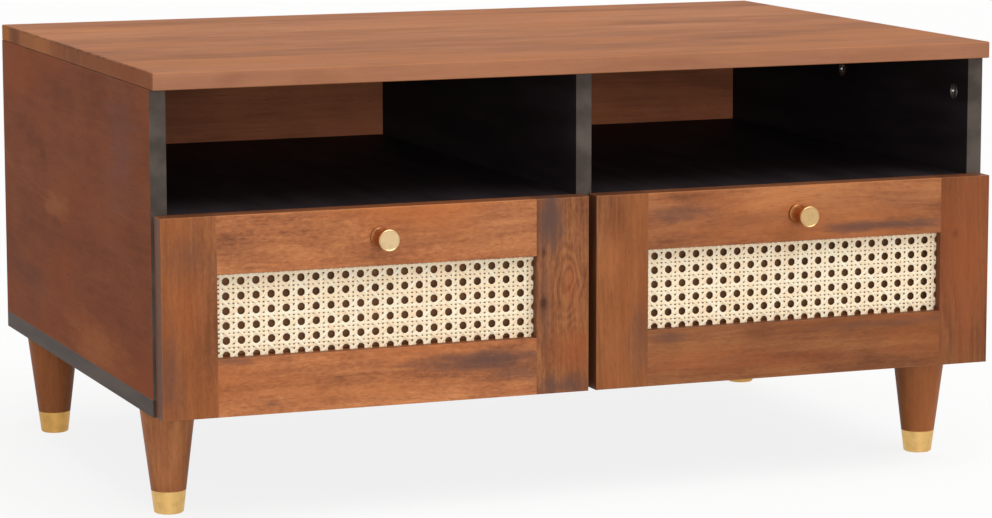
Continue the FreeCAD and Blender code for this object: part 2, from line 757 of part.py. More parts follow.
def make_cane(name, low_x):
    """A woven cane panel as one sheet: a flat face with a hole for each opening of the weave."""
    margin = size.cane_rebate_width.value - size.cane_clearance.value
    width = opening_width.value + margin * 2
    height = opening_height.value + margin * 2
    pitch_across = size.cane_pitch_across.value
    pitch_up = size.cane_pitch_up.value
    half_hole = size.cane_hole_width.value / 2
    half_tall = size.cane_hole_height.value / 2
    first_x = margin + size.cane_first_column.value
    first_z = height - margin - size.cane_first_row.value
    edge = margin * CANE_EDGE_SHARE
    columns = int((width - edge - half_hole - first_x) // pitch_across) + 1
    rows = int((first_z - edge - half_tall) // pitch_up) + 1
    cut_z = size.cane_hole_height.value * CANE_CORNER_SHARE
    corner_points = [
        (half_hole, half_tall - cut_z),
        (0, half_tall),
        (-half_hole, half_tall - cut_z),
        (-half_hole, cut_z - half_tall),
        (0, -half_tall),
        (half_hole, cut_z - half_tall),
    ]
    rim = [(0, 0), (width, 0), (width, height), (0, height)]
    wires = [Part.makePolygon([FreeCAD.Vector(x, 0, z) for x, z in rim + rim[:1]])]
    for column in range(columns):
        for row_number in range(rows):
            middle_x = first_x + pitch_across * column
            middle_z = first_z - pitch_up * row_number
            hole = [FreeCAD.Vector(middle_x + x, 0, middle_z + z) for x, z in corner_points]
            wires.append(Part.makePolygon(hole + hole[:1]))
    face = Part.makeFace(wires, "Part::FaceMakerBullseye")
    cane = doc.addObject("Part::Feature", name)
    cane.Label = name
    cane.Shape = face.extrude(FreeCAD.Vector(0, size.cane_thickness.value, 0))
    rebate_edge = size.cane_rebate_width - size.cane_clearance
    place_at(cane, (low_x - rebate_edge, rebate_y, opening_low_z - rebate_edge))
    pieces.append(cane)
    print(name, "openings:", columns * rows)


def make_beads(name, low_x):
    """Four mitred beads that hold the cane in its rebate."""
    bead = size.cane_rebate_width
    gap = size.bead_gap
    width = opening_width + bead * 2
    height = opening_height + bead * 2
    inside_x = width - bead
    inside_z = height - bead
    corner = (low_x - bead, rebate_y + size.cane_thickness, opening_low_z - bead)
    beads = new_body(name, corner)
    depth = rebate_depth - size.cane_thickness
    sketch = new_sketch(beads, "Y", depth)
    for outline in (
        [(gap, 0), (width - gap, 0), (inside_x - gap, bead), (bead + gap, bead)],
        [(bead + gap, inside_z), (inside_x - gap, inside_z), (width - gap, height), (gap, height)],
        [(0, gap), (bead, bead + gap), (bead, inside_z - gap), (0, height - gap)],
        [(width, gap), (width, height - gap), (inside_x, inside_z - gap), (inside_x, bead + gap)],
    ):
        draw_outline(sketch, outline)
    add_pad(beads, sketch, depth)
    return beads


def make_drawer(side, front_x, box_x):
    """A drawer: its front frame starts at one place along X and its box at another."""
    opening_x = front_x + size.stile_width
    opening_end_x = opening_x + opening_width
    box_width = bay_width - size.box_side_gap * 2
    box_end_x = box_x + box_width
    inner_low_x = box_x + size.box_board
    inner_high_x = box_end_x - size.box_board
    left_stile = make_stile(side + "_stile_left", front_x, 1)
    right_stile = make_stile(side + "_stile_right", opening_end_x, -1)
    top_rail = make_rail(side + "_rail_top", opening_x, opening_high_z, -1)
    make_rail(side + "_rail_bottom", opening_x, base_z, 1)
    make_cane(side + "_cane_panel", opening_x)
    make_beads(side + "_cane_beads", opening_x)

    # Box: front and back boards between the sides, all grooved for the bottom.
    groove_low_y = box_front_end_y - size.box_groove_depth
    groove_high_y = box_back_y + size.box_groove_depth
    for name, low_x, face_x, way in (
        (side + "_box_side_left", box_x, inner_low_x, -1),
        (side + "_box_side_right", inner_high_x, inner_high_x, 1),
    ):
        high_x = low_x + size.box_board
        board = make_board(name, (low_x, frame_back_y, box_z), (high_x, box_end_y, box_top_z))
        low = (face_x, groove_low_y, groove_low_z)
        high = (face_x, groove_high_y, groove_low_z + groove_height)
        carve(board, "X", face_x, way, low, high, size.box_groove_depth)
    groove_low = (inner_low_x, 0, groove_low_z)
    groove_high = (inner_high_x, 0, groove_low_z + groove_height)
    box_front_high = (inner_high_x, box_front_end_y, box_top_z)
    box_front = make_board(side + "_box_front", (inner_low_x, frame_back_y, box_z), box_front_high)
    carve(box_front, "Y", box_front_end_y, -1, groove_low, groove_high, size.box_groove_depth)
    box_back_high = (inner_high_x, box_end_y, box_top_z)
    box_back = make_board(side + "_box_back", (inner_low_x, box_back_y, box_z), box_back_high)
    carve(box_back, "Y", box_back_y, 1, groove_low, groove_high, size.box_groove_depth)
    reach = size.box_groove_depth - size.box_groove_play
    bottom_low = (inner_low_x - reach, box_front_end_y - reach, groove_low_z + size.box_groove_play)
    bottom_high_z = groove_low_z + size.box_groove_play + size.box_bottom_thickness
    bottom_high = (inner_high_x + reach, box_back_y + reach, bottom_high_z)
    make_board(side + "_box_bottom", bottom_low, bottom_high)

    # Screws through the box front into the stiles.
    screw_x = inner_low_x + size.front_screw_side_inset
    screw_z = box_z + box_height * FRONT_SCREW_SHARE
    screw_step_x = inner_high_x - inner_low_x - size.front_screw_side_inset * 2
    column = ("Z", box_height * (1 - FRONT_SCREW_SHARE * 2), 2)
    screw_rows = [("X", screw_step_x, 2), column]
    screw_hold = size.front_screw_length - size.box_board + size.hole_spare
    place = (screw_x, box_front_end_y, screw_z)
    drill(box_front, "Y", box_front_end_y, -1, place, screw_rows, wood_screw_bores(size.box_board))
    for stile, middle_x in ((left_stile, screw_x), (right_stile, screw_x + screw_step_x)):
        place = (middle_x, frame_back_y, screw_z)
        drill(stile, "Y", frame_back_y, -1, place, [column], [(size.wood_screw_radius, screw_hold)])
    screw_foot = (screw_x, box_front_end_y - size.front_screw_length, screw_z)
    make_fasteners(side + "_front_screws", "Y", screw_foot, wood_screw(size.front_screw_length), screw_rows)

    # Knob, in the middle of the top rail, and its screw from behind the rail.
    knob_x = opening_x + opening_width / 2
    neck_y = size.knob_disc_thickness
    base_y = size.knob_length - size.knob_base_thickness
    rim_radius = size.knob_radius - size.knob_rim_width
    chamfer = size.knob_chamfer
    knob_points = [
        (0, size.knob_dish),
        (rim_radius, size.knob_dish),
        (rim_radius + size.knob_dish, 0),
        (size.knob_radius - chamfer, 0),
        (size.knob_radius, chamfer),
        (size.knob_radius, neck_y - chamfer),
        (size.knob_radius - chamfer, neck_y),
        (size.knob_neck_radius, neck_y),
        (size.knob_base_radius, base_y),
        (size.knob_base_radius, size.knob_length),
        (0, size.knob_length),
    ]
    neck_start = knob_points.index((size.knob_neck_radius, neck_y))
    knob_foot = (knob_x, face_y - size.knob_length, knob_z)
    knob = make_turned(side + "_knob", "Y", knob_foot, knob_points, {neck_start: size.knob_neck_curve})
    knob_bores = [(size.knob_screw_radius, size.knob_screw_depth + size.hole_spare)]
    drill(knob, "Y", face_y, -1, (knob_x, face_y, knob_z), (), knob_bores)
    rail_bores = [(size.knob_screw_radius, size.front_thickness)]
    drill(top_rail, "Y", frame_back_y, -1, (knob_x, frame_back_y, knob_z), (), rail_bores)
    knob_screw = [
        (size.knob_screw_radius, size.knob_screw_depth + size.front_thickness),
        (size.knob_screw_head_radius, size.knob_screw_head_height),
    ]
    screw_foot = (knob_x, face_y - size.knob_screw_depth, knob_z)
    make_fasteners(side + "_knob_screw", "Y", screw_foot, knob_screw)


make_drawer("left_drawer", -half_width + size.front_reveal, -inner_x + size.box_side_gap)
make_drawer("right_drawer", size.front_spacing / 2, half_panel + size.box_side_gap)

doc.recompute()
faults = []
for item in doc.Objects:
    if "Invalid" in item.State or "Error" in item.State:
        faults.append(item.Label + " failed")
for cut in cuts:
    if cut.Shape.Volume > cut.BaseFeature.Shape.Volume - TOLERANCE:
        faults.append(cut.Label + " removes nothing")
for piece in pieces:
    if piece.Shape.isNull() or not piece.Shape.isValid():
        faults.append(piece.Label + " has no valid shape")
if faults:
    raise RuntimeError("; ".join(faults))

os.makedirs("parts", exist_ok=True)
for piece in pieces:
    piece.Shape.exportStep("parts/%s.step" % piece.Label)
    print("%-28s %2d" % (piece.Label, len(piece.Shape.Solids)))
print(len(pieces), "pieces")
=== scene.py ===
# %% [markdown]
# # A coffee table with cane drawer fronts
# A low cabinet on four turned legs: two open bays above two drawers, a solid slab for a top,
# woven cane in the drawer fronts and a little pale brass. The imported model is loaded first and
# gives every piece its place. This lesson sets up the camera and the light, gives each piece its
# finish, weaves the cane and cuts the recesses of the screws. Lengths are in metres.

# %% Load the frame
import math
import random

import bmesh
import bpy
from mathutils import Matrix, Vector


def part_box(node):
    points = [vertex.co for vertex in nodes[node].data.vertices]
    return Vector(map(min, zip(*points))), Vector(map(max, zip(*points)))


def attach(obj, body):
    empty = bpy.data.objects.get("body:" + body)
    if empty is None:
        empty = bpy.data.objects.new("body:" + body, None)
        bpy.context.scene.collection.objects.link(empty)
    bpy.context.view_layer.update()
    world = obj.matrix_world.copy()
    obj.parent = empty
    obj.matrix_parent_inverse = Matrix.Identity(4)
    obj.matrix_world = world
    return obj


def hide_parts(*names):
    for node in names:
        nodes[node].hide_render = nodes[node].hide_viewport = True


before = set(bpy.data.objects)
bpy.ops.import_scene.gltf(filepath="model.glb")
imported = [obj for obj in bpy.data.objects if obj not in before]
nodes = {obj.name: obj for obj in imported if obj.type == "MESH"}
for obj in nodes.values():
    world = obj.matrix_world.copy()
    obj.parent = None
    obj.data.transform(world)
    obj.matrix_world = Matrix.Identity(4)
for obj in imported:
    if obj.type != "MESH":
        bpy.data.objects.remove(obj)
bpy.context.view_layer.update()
MM = 0.001


def add_object(name, data):
    """A new object in the scene."""
    made = bpy.data.objects.new(name, data)
    bpy.context.scene.collection.objects.link(made)
    return made


# %% [markdown]
# ## The camera
# The slab's corners, the drawer fronts and the feet each give a sight line in the photograph,
# and one place agrees with all of them. It lies low, in front and to the left, with a long lens,
# so lines that run along the front stay nearly parallel. The camera looks a little down and to
# the right, and is rolled by a hair.

# %% Camera
CAMERA_PLACE = (-1.2497, -3.2216, 0.6951)
CAMERA_TURN = 21.318
CAMERA_TILT = -8.473
CAMERA_ROLL = -0.077
LENS = 132.98

camera_data = bpy.data.cameras.new("camera")
camera_data.lens = LENS
camera = add_object("camera", camera_data)
turn = Matrix.Rotation(math.radians(-CAMERA_TURN), 4, "Z")
tilt = Matrix.Rotation(math.radians(90 + CAMERA_TILT), 4, "X")
roll = Matrix.Rotation(math.radians(CAMERA_ROLL), 4, "Z")
camera.matrix_world = Matrix.Translation(CAMERA_PLACE) @ turn @ tilt @ roll
bpy.context.scene.camera = camera
print("camera looks along", camera.matrix_world.to_3x3() @ Vector((0, 0, -1)))

# %% [markdown]
# ## The floor
# The table stands on plain white. What the camera and shiny surfaces see of the floor is partly
# white of its own, which keeps the table's shadow soft and pale. The light that it throws back is
# weaker, so the underside and the legs stay darker than the top.

# %% Floor
FLOOR_SIZE = 30.0
FLOOR_COLOUR = 0.6
FLOOR_SEEN = 0.9
FLOOR_OWN_WHITE = 0.85


def new_material(name):
    """A material with its node tree and its shader."""
    material = bpy.data.materials.new(name)
    material.use_nodes = True
    tree = material.node_tree
    return material, tree, tree.nodes["Principled BSDF"]


def feed(tree, socket, value):
    """Links an output to a socket, or sets the socket to a number or a colour."""
    if isinstance(value, bpy.types.NodeSocket):
        tree.links.new(value, socket)
    elif socket.type == "RGBA" and len(value) == 3:
        socket.default_value = (*value, 1)
    else:
        socket.default_value = value


def add_node(tree, kind, values=(), **settings):
    """Adds a node, sets its options and feeds its sockets."""
    made = tree.nodes.new(kind)
    for name, value in settings.items():
        setattr(made, name, value)
    for socket, value in dict(values).items():
        feed(tree, made.inputs[socket], value)
    return made


def seen_directly(tree):
    """1 for what the camera, a shiny surface or clear glass sees, 0 for light thrown on."""
    paths = add_node(tree, "ShaderNodeLightPath").outputs
    total = paths["Is Camera Ray"]
    for name in ("Is Glossy Ray", "Is Transmission Ray"):
        values = {0: total, 1: paths[name]}
        total = add_node(tree, "ShaderNodeMath", values, operation="MAXIMUM").outputs[0]
    return total


def diffuse(tree, level):
    return add_node(tree, "ShaderNodeBsdfDiffuse", {"Color": (level, level, level)}).outputs[0]


def mix_shaders(tree, amount, first, second):
    return add_node(tree, "ShaderNodeMixShader", {0: amount, 1: first, 2: second}).outputs[0]


floor_paint, floor_tree, _ = new_material("floor_paint")
own_white = add_node(floor_tree, "ShaderNodeEmission").outputs[0]
seen_paint, real_paint = diffuse(floor_tree, FLOOR_SEEN), diffuse(floor_tree, FLOOR_COLOUR)
seen_floor = mix_shaders(floor_tree, FLOOR_OWN_WHITE, seen_paint, own_white)
floor_look = mix_shaders(floor_tree, seen_directly(floor_tree), real_paint, seen_floor)
floor_tree.links.new(floor_look, floor_tree.nodes["Material Output"].inputs["Surface"])

half = FLOOR_SIZE / 2
floor_mesh = bpy.data.meshes.new("floor")
floor_corners = [(-half, -half, 0), (half, -half, 0), (half, half, 0), (-half, half, 0)]
floor_mesh.from_pydata(floor_corners, [], [(0, 1, 2, 3)])
floor_mesh.materials.append(floor_paint)
floor = add_object("floor", floor_mesh)
print("floor:", FLOOR_SIZE, "metres square")

# %% [markdown]
# ## The light
# Soft light comes from above and in front, a little from the right, so the top is the lightest
# face and the left side the darkest. One wide sun lamp gives that direction, a weaker one reaches
# from the front into the bays, and the world fills the shadows. The camera and shiny metal see
# the world as white, while it lights the table at a lower level.

# %% Light
FILL = 0.4
FILL_TINT = (1.0, 0.99, 0.975, 1)
LAMP_TINT = (1.0, 0.985, 0.965)
LAMPS = {
    "high_sun": (2.0, 60.0, (0.2, -0.34, 0.92)),
    "front_sun": (1.3, 24.0, (-0.2, -0.97, 0.07)),
}

world = bpy.data.worlds.new("studio")
world.use_nodes = True
bpy.context.scene.world = world
world_tree = world.node_tree
fill_light = world_tree.nodes["Background"]
fill_light.inputs["Color"].default_value = FILL_TINT
fill_light.inputs["Strength"].default_value = FILL
backdrop = add_node(world_tree, "ShaderNodeBackground", {"Color": (1, 1, 1)}).outputs[0]
shown = seen_directly(world_tree)
studio_look = mix_shaders(world_tree, shown, fill_light.outputs[0], backdrop)
world_tree.links.new(studio_look, world_tree.nodes["World Output"].inputs["Surface"])

for name, (power, spread, direction) in LAMPS.items():
    lamp_data = bpy.data.lights.new(name, "SUN")
    lamp_data.energy = power
    lamp_data.angle = math.radians(spread)
    lamp_data.color = LAMP_TINT
    lamp = add_object(name, lamp_data)
    lamp.rotation_euler = Vector(direction).to_track_quat("Z", "Y").to_euler()
bpy.context.scene.view_settings.view_transform = "Standard"
print("lamps:", *LAMPS)

# %% [markdown]
# ## Small helpers for finishes
# A finish is a small network of nodes. Each helper adds one node, feeds it numbers or the outputs
# of other nodes, and returns its output, so the recipes below read from top to bottom.

# %% Node helpers
NOISE_MIDDLE = 0.5


class Recipe:
    """A material under construction: adds nodes and links them."""

    def __init__(self, name):
        self.material, self.tree, self.shader = new_material(name)
        space = self.tree.nodes.new("ShaderNodeTexCoord")
        self.place = space.outputs["Object"]
        self.normal = space.outputs["Normal"]

    def node(self, kind, values=(), **settings):
        return add_node(self.tree, kind, values, **settings).outputs

    def math(self, operation, *values):
        return self.node("ShaderNodeMath", enumerate(values), operation=operation)[0]

    def vector(self, operation, *values):
        return self.node("ShaderNodeVectorMath", enumerate(values), operation=operation)[0]

    def reach(self, vector):
        return self.node("ShaderNodeVectorMath", {0: vector}, operation="LENGTH")["Value"]

    def parts(self, vector):
        return self.node("ShaderNodeSeparateXYZ", {0: vector})

    def join(self, *values):
        return self.node("ShaderNodeCombineXYZ", enumerate(values))[0]

    def remap(self, value, low, high, new_low=0.0, new_high=1.0):
        """Moves a value from one range to another, smoothly and not past its ends."""
        values = {"Value": value, "From Min": low, "From Max": high}
        values.update({"To Min": new_low, "To Max": new_high})
        return self.node("ShaderNodeMapRange", values, interpolation_type="SMOOTHSTEP")[0]

    def noise(self, vector, stretch=(1.0, 1.0, 1.0), detail=3.0, rough=0.5, bend=0.0):
        values = {"Vector": self.vector("MULTIPLY", vector, stretch), "Scale": 1.0}
        values.update({"Detail": detail, "Roughness": rough, "Distortion": bend})
        return self.node("ShaderNodeTexNoise", values)[0]

    def shown(self, vector, pattern, shows):
        """A noise pattern moved from one range to another."""
        return self.remap(self.noise(vector, *pattern), *shows)

    def sway(self, level, noise, weight):
        """Moves a level up and down by a noise, which lies around one half."""
        return self.math("MULTIPLY_ADD", self.math("SUBTRACT", noise, NOISE_MIDDLE), weight, level)

    def blend(self, amount, first, second, kind="MIX"):
        values = {0: amount, 6: first, 7: second}
        return self.node("ShaderNodeMix", values, data_type="RGBA", blend_type=kind)[2]

    def blend_values(self, amount, first, second):
        return self.node("ShaderNodeMix", {0: amount, 2: first, 3: second})[0]

    def shade(self, colour, level):
        """A colour made lighter or darker by a level around 1."""
        grey = self.node("ShaderNodeCombineColor", {0: level, 1: level, 2: level})[0]
        return self.blend(1.0, colour, grey, "MULTIPLY")

    def ramp(self, value, stops):
        """Looks a value up in a band of colours."""
        made = add_node(self.tree, "ShaderNodeValToRGB", {0: value})
        band = made.color_ramp
        for place, _ in stops[2:]:
            band.elements.new(place)
        for element, (place, colour) in zip(band.elements, stops):
            element.position = place
            element.color = (*colour, 1)
        return made.outputs[0]

    def bump(self, height, distance, strength):
        values = {"Height": height, "Distance": distance, "Strength": strength}
        return self.node("ShaderNodeBump", values)[0]

    def finish(self, colour, roughness, normal, **constants):
        values = {"Base Color": colour, "Roughness": roughness, "Normal": normal, **constants}
        for socket, value in values.items():
            feed(self.tree, self.shader.inputs[socket.replace("_", " ")], value)
        return self.material


def tone(*shown):
    """A colour as a picture shows it, from 0 to 255, as the light that a shader mixes."""
    parts = [part / 255 for part in shown]
    return tuple(
        part / 12.92 if part <= 0.04045 else ((part + 0.055) / 1.055) ** 2.4 for part in parts
    )


def tinted(palette, level):
    """A palette made lighter or darker by a level around 1."""
    return tuple(tuple(part * level for part in colour) for colour in palette)


def put_on(names, material):
    """Gives the nodes one finish."""
    for name in names:
        slots = nodes[name].data.materials
        slots.clear()
        slots.append(material)


print("middle brown as light:", tone(160, 100, 66))

# %% [markdown]
# ## Stained wood
# The wood is a fairly plain hardwood, stained brown and lacquered. Stretched noise gives soft
# streaks, short flecks and dark pores along the grain, rounder noise gives clouds where the stain
# took more, and a sine of one slow noise gives faint contour lines. Every board gets its own shift
# through the pattern, so that no two boards match.

# %% Grain direction
ORDERS = {"X": ("X", "Y", "Z"), "Y": ("Y", "Z", "X"), "Z": ("Z", "X", "Y")}
FACING = (0.6, 0.8)


def grain_space(recipe, grain, shift):
    """The piece's own space with its first axis along the grain."""
    parts = recipe.parts(recipe.place)
    turned = recipe.join(*(parts[axis] for axis in ORDERS[grain]))
    return recipe.vector("ADD", turned, shift)


def faces_along(recipe, axis):
    """1 on faces that look along an axis, either way, and 0 on the others."""
    along = recipe.parts(recipe.normal)[axis]
    return recipe.remap(recipe.math("ABSOLUTE", along), *FACING)


def tone_faces(recipe, colour, axis, amount, face_tone):
    """Blends a tone into the faces that look along an axis."""
    shown = recipe.math("MULTIPLY", faces_along(recipe, axis), amount)
    return recipe.blend(shown, colour, face_tone)


print("grain orders:", *ORDERS)

# %% [markdown]
# Boards carry marks that no noise puts in the right place: smoky or lighter patches, small knots
# and burnt edges, and on the left side panel a patch of painted sheen. Each is a soft oval with a
# centre and a reach in millimetres, and a ragged noise keeps its edge from being clean. An oval
# figure has fine lines that run round it.

# %% Marks in the wood
SMOKE = tone(92, 67, 60)
PALE = tone(198, 124, 72)
RUST = tone(154, 78, 42)
KNOT = tone(66, 36, 28)
AMBER = tone(205, 128, 52)
BURNT = tone(78, 40, 26)
RED = tone(140, 70, 52)
RAGGED_REACH = 2.4
MARK_FULL = RAGGED_REACH / 2
MARK_GONE = MARK_FULL + 1.25
FIGURE_NOISE = ((46, 46, 24), 1)
FIGURE_SWAY = 1.3
FIGURE_SHOWS = (1.5, 0.2, 0.0, 0.16)


def marks_on(axis, level, depth, marks):
    """Flat marks as ovals in space. Each has two coordinates, two reaches, a colour, an amount."""
    ovals = []
    for first, second, long, high, colour, amount in marks:
        centre, reach = [first, second], [long, high]
        centre.insert(axis, level)
        reach.insert(axis, depth)
        ovals.append((centre, reach, colour, amount))
    return ovals


def oval(recipe, centre, reach):
    """Distance from a centre, 1 at the oval's edge."""
    offset = recipe.vector("SUBTRACT", recipe.place, tuple(part * MM for part in centre))
    squeezed = recipe.vector("MULTIPLY", offset, tuple(1 / (part * MM) for part in reach))
    return recipe.reach(squeezed)


def add_marks(recipe, colour, marks, ragged):
    """Blends soft oval marks into a colour."""
    for centre, reach, mark, amount in marks:
        distance = oval(recipe, centre, reach)
        distance = recipe.math("MULTIPLY_ADD", ragged, RAGGED_REACH, distance)
        inside = recipe.remap(distance, MARK_GONE, MARK_FULL, 0.0, amount)
        colour = recipe.blend(inside, colour, mark)
    return colour


def add_figure(recipe, level, ovals):
    """Adds fine lines round ovals. Each has a centre, a reach and a count of lines."""
    for centre, reach, lines in ovals:
        distance = oval(recipe, centre, reach)
        swaying = recipe.math("MULTIPLY", recipe.noise(recipe.place, *FIGURE_NOISE), FIGURE_SWAY)
        turns = recipe.math("MULTIPLY", recipe.math("ADD", distance, swaying), lines * math.tau)
        shown = recipe.remap(distance, *FIGURE_SHOWS)
        level = recipe.math("MULTIPLY_ADD", recipe.math("SINE", turns), shown, level)
    return level


print("mark colours:", SMOKE, PALE, RUST, KNOT)

# %% [markdown]
# The outer edges show a little paler, partly as worn lacquer and partly as a painted highlight
# where they catch the light. A point on an edge is close to two faces at once, so the middle one
# of its three distances is small there.

# %% Edge wear and painted highlight
EDGE_WEAR_AND_HIGHLIGHT_REACH = 1.6 * MM


def edge_wear_and_highlight(recipe, box):
    """1 on the edges of a box, fading to 0 a little way from them."""
    place = recipe.parts(recipe.place)
    gaps = []
    for axis in range(3):
        low_gap = recipe.math("SUBTRACT", place[axis], box[0][axis])
        high_gap = recipe.math("SUBTRACT", box[1][axis], place[axis])
        gaps.append(recipe.math("MINIMUM", low_gap, high_gap))
    nearer = recipe.math("MINIMUM", gaps[0], gaps[1])
    farther = recipe.math("MAXIMUM", gaps[0], gaps[1])
    middle = recipe.math("MAXIMUM", nearer, recipe.math("MINIMUM", farther, gaps[2]))
    return recipe.remap(middle, EDGE_WEAR_AND_HIGHLIGHT_REACH, 0.0)


print("worn edges are", EDGE_WEAR_AND_HIGHLIGHT_REACH / MM, "mm wide")

# %% [markdown]
# The patterns in the wood are noises. Each has a stretch, which says how often it repeats in a
# metre, along the grain and across it, and may have a number of finer layers, their roughness
# and a bend. A range says which part of a noise shows, and how strongly at either end.

# %% Grain patterns
WANDER = ((2.2, 7, 7), 2)
STREAKS = ((3, 34, 34), 4, 0.6, 0.3)
CLOUDS = ((8, 20, 20), 4, 0.68)
LINES = ((11, 260, 260), 3, 0.6)
FLECKS = ((170, 460, 460), 3, 0.7)
CONTOURS = ((1.6, 11, 11), 1, 0.4)
CONTOUR_PLACES = ((3, 9, 9), 1)
PATCHES = ((4, 8, 8), 2)
PORES = ((80, 950, 950), 2)
SPECKLE = ((20, 500, 200), 3, 0.7, 0.6)
RAGGED = ((18, 70, 70), 4, 0.65)
FIBRES = ((32, 1100, 1100), 2)
CONTOUR_SHOWS = (0.45, 0.7, 0.0, 0.05)
PATCH_SHOWS = (0.45, 0.66, 0.0, 0.6)
PORE_SHOWS = (0.56, 0.76, 0.0, 0.5)
END_SHOWS = (0.3, 0.7, 0.5, 0.1)
EDGE_WEAR_AND_HIGHLIGHT_SHOWS = (0.35, 0.6, 0.15, 0.55)
WANDER_REACH = 50 * MM
STREAK_WEIGHT = 0.8
CLOUD_WEIGHT = 0.9
LINE_WEIGHT = 0.6
CONTOUR_COUNT = 24.0
BAND = (0.2, 0.5, 0.8)
STAVE_JUMP = 3.0
STAVE_TONE = 0.2
STAVE_BLOCK = 0.45
LACQUER_ROUGH = 0.4
FIBRE_ROUGH = 0.2
WOOD_BUMP = (0.25 * MM, 0.3)
print("fine lines in a metre:", LINES[0][1])

# %% [markdown]
# The wood recipe works out one level from the streaks, clouds, contour lines and flecks, looks
# its colour up in a band from dark to light, and adds warm patches and pores. Faces that cut
# across the grain show speckled end grain, and other faces can take a tone of their own, which
# on the slab's front and rear edges is a painted sheen. Paler edges, partly worn lacquer and
# partly a painted highlight, come last with the marks.

# %% Wood recipe
def wood_level(recipe, space, streak, cloud, fleck):
    """How light the wood is, around one half, with the flowing space and its fine lines."""
    drift = recipe.sway(0.0, recipe.noise(space, *WANDER), WANDER_REACH)
    flowing = recipe.vector("ADD", space, recipe.join(0.0, drift, drift))
    lines = recipe.noise(flowing, *LINES)
    level = recipe.sway(NOISE_MIDDLE, recipe.noise(flowing, *STREAKS), STREAK_WEIGHT * streak)
    level = recipe.sway(level, recipe.noise(space, *CLOUDS), CLOUD_WEIGHT * cloud)
    level = recipe.sway(level, lines, LINE_WEIGHT * streak)
    turns = recipe.math("MULTIPLY", recipe.noise(flowing, *CONTOURS), CONTOUR_COUNT * math.tau)
    shown = recipe.shown(space, CONTOUR_PLACES, CONTOUR_SHOWS)
    level = recipe.math("MULTIPLY_ADD", recipe.math("SINE", turns), shown, level)
    if fleck:
        level = recipe.sway(level, recipe.noise(flowing, *FLECKS), fleck)
    return level, flowing, lines


def wood_colour(recipe, grain, palette, shift, streak=1.0, cloud=1.0, fleck=0.0, marks=(),
                figure=(), faces=(), staves=0.0, box=None):
    """The colour, roughness and height of stained wood."""
    dark, middle, light, warm = palette
    space = grain_space(recipe, grain, shift)
    if staves:
        row = recipe.math("FLOOR", recipe.math("DIVIDE", recipe.parts(space)[1], staves))
        pick = recipe.node("ShaderNodeTexWhiteNoise", {"W": row}, noise_dimensions="1D")[0]
        jump = recipe.join(recipe.math("MULTIPLY", pick, STAVE_JUMP), 0.0, pick)
        space = recipe.vector("ADD", space, jump)
    level, flowing, lines = wood_level(recipe, space, streak, cloud, fleck)
    if staves:
        level = recipe.sway(level, pick, STAVE_TONE)
    level = add_figure(recipe, level, figure)
    colour = recipe.ramp(level, list(zip(BAND, (dark, middle, light))))
    colour = recipe.blend(recipe.shown(space, PATCHES, PATCH_SHOWS), colour, warm)
    pores = recipe.shown(flowing, PORES, PORE_SHOWS)
    colour = recipe.blend(pores, colour, dark)
    speckle = recipe.noise(space, *SPECKLE)
    colour = tone_faces(recipe, colour, grain, recipe.remap(speckle, *END_SHOWS), dark)
    if staves:
        block = recipe.blend(pick, dark, light)
        colour = tone_faces(recipe, colour, grain, STAVE_BLOCK, block)
    for axis, face_tone, amount in faces:
        colour = tone_faces(recipe, colour, axis, amount, face_tone)
    if box:
        # Painted highlight: the edges are blended towards the light colour, partly as worn lacquer.
        broken = recipe.remap(speckle, *EDGE_WEAR_AND_HIGHLIGHT_SHOWS)
        wear_and_painted_light = recipe.math("MULTIPLY", edge_wear_and_highlight(recipe, box), broken)
        colour = recipe.blend(wear_and_painted_light, colour, light)
    colour = add_marks(recipe, colour, marks, recipe.noise(flowing, *RAGGED))
    fibres = recipe.noise(flowing, *FIBRES)
    roughness = recipe.math("MULTIPLY_ADD", fibres, FIBRE_ROUGH, LACQUER_ROUGH)
    height = recipe.math("SUBTRACT", recipe.math("ADD", fibres, lines), pores)
    return colour, roughness, height


def stained_wood(name, grain, palette, shift, gloss=0.15, **settings):
    """A finish of stained and lacquered wood."""
    recipe = Recipe(name)
    colour, roughness, height = wood_colour(recipe, grain, palette, shift, **settings)
    normal = recipe.bump(height, *WOOD_BUMP)
    return recipe.finish(colour, roughness, normal, Specular_IOR_Level=gloss)


print("dark, middle and light lie at", BAND)

# %% [markdown]
# ## The top
# The slab is glued up from long staves side by side, so its tone changes a little from front to
# back, and its left end shows blocks of end grain. A stave's number is worked out from the depth,
# and picks its tone and its piece of the pattern. The left and rear edges are burnt dark.

# %% Top
TOP_PALETTE = (tone(132, 82, 52), tone(164, 106, 70), tone(184, 124, 86), tone(178, 112, 64))
# Painted sheen: the slab's front and rear edges are blended with a pale pinkish tone, while its
# ends take the warm tone of their end grain.
TOP_EDGE_TONES_AND_SHEEN = (("Y", tone(173, 126, 106), 0.45), ("X", tone(160, 84, 42), 0.35))
TOP_SHIFT = (0.3, 0.02, 0.0)
STAVE_WIDTH = 58 * MM
LEFT_END = [
    (267, 387, 17, 30, AMBER, 0.6),
    (231, 387, 16, 30, BURNT, 0.35),
    (140, 387, 70, 30, AMBER, 0.25),
    (10, 387, 34, 30, BURNT, 0.3),
    (-180, 387, 60, 30, RED, 0.3),
]
FRONT_EDGE_MARKS = [
    (-260, 386, 40, 8, BURNT, 0.15),
    (-330, 386, 26, 10, BURNT, 0.2),
    (60, 386, 90, 7, BURNT, 0.15),
    (300, 386, 60, 8, BURNT, 0.15),
]
UPPER_FACE = [
    (-300, 190, 90, 40, AMBER, 0.12),
    (-40, 90, 160, 30, AMBER, 0.1),
]
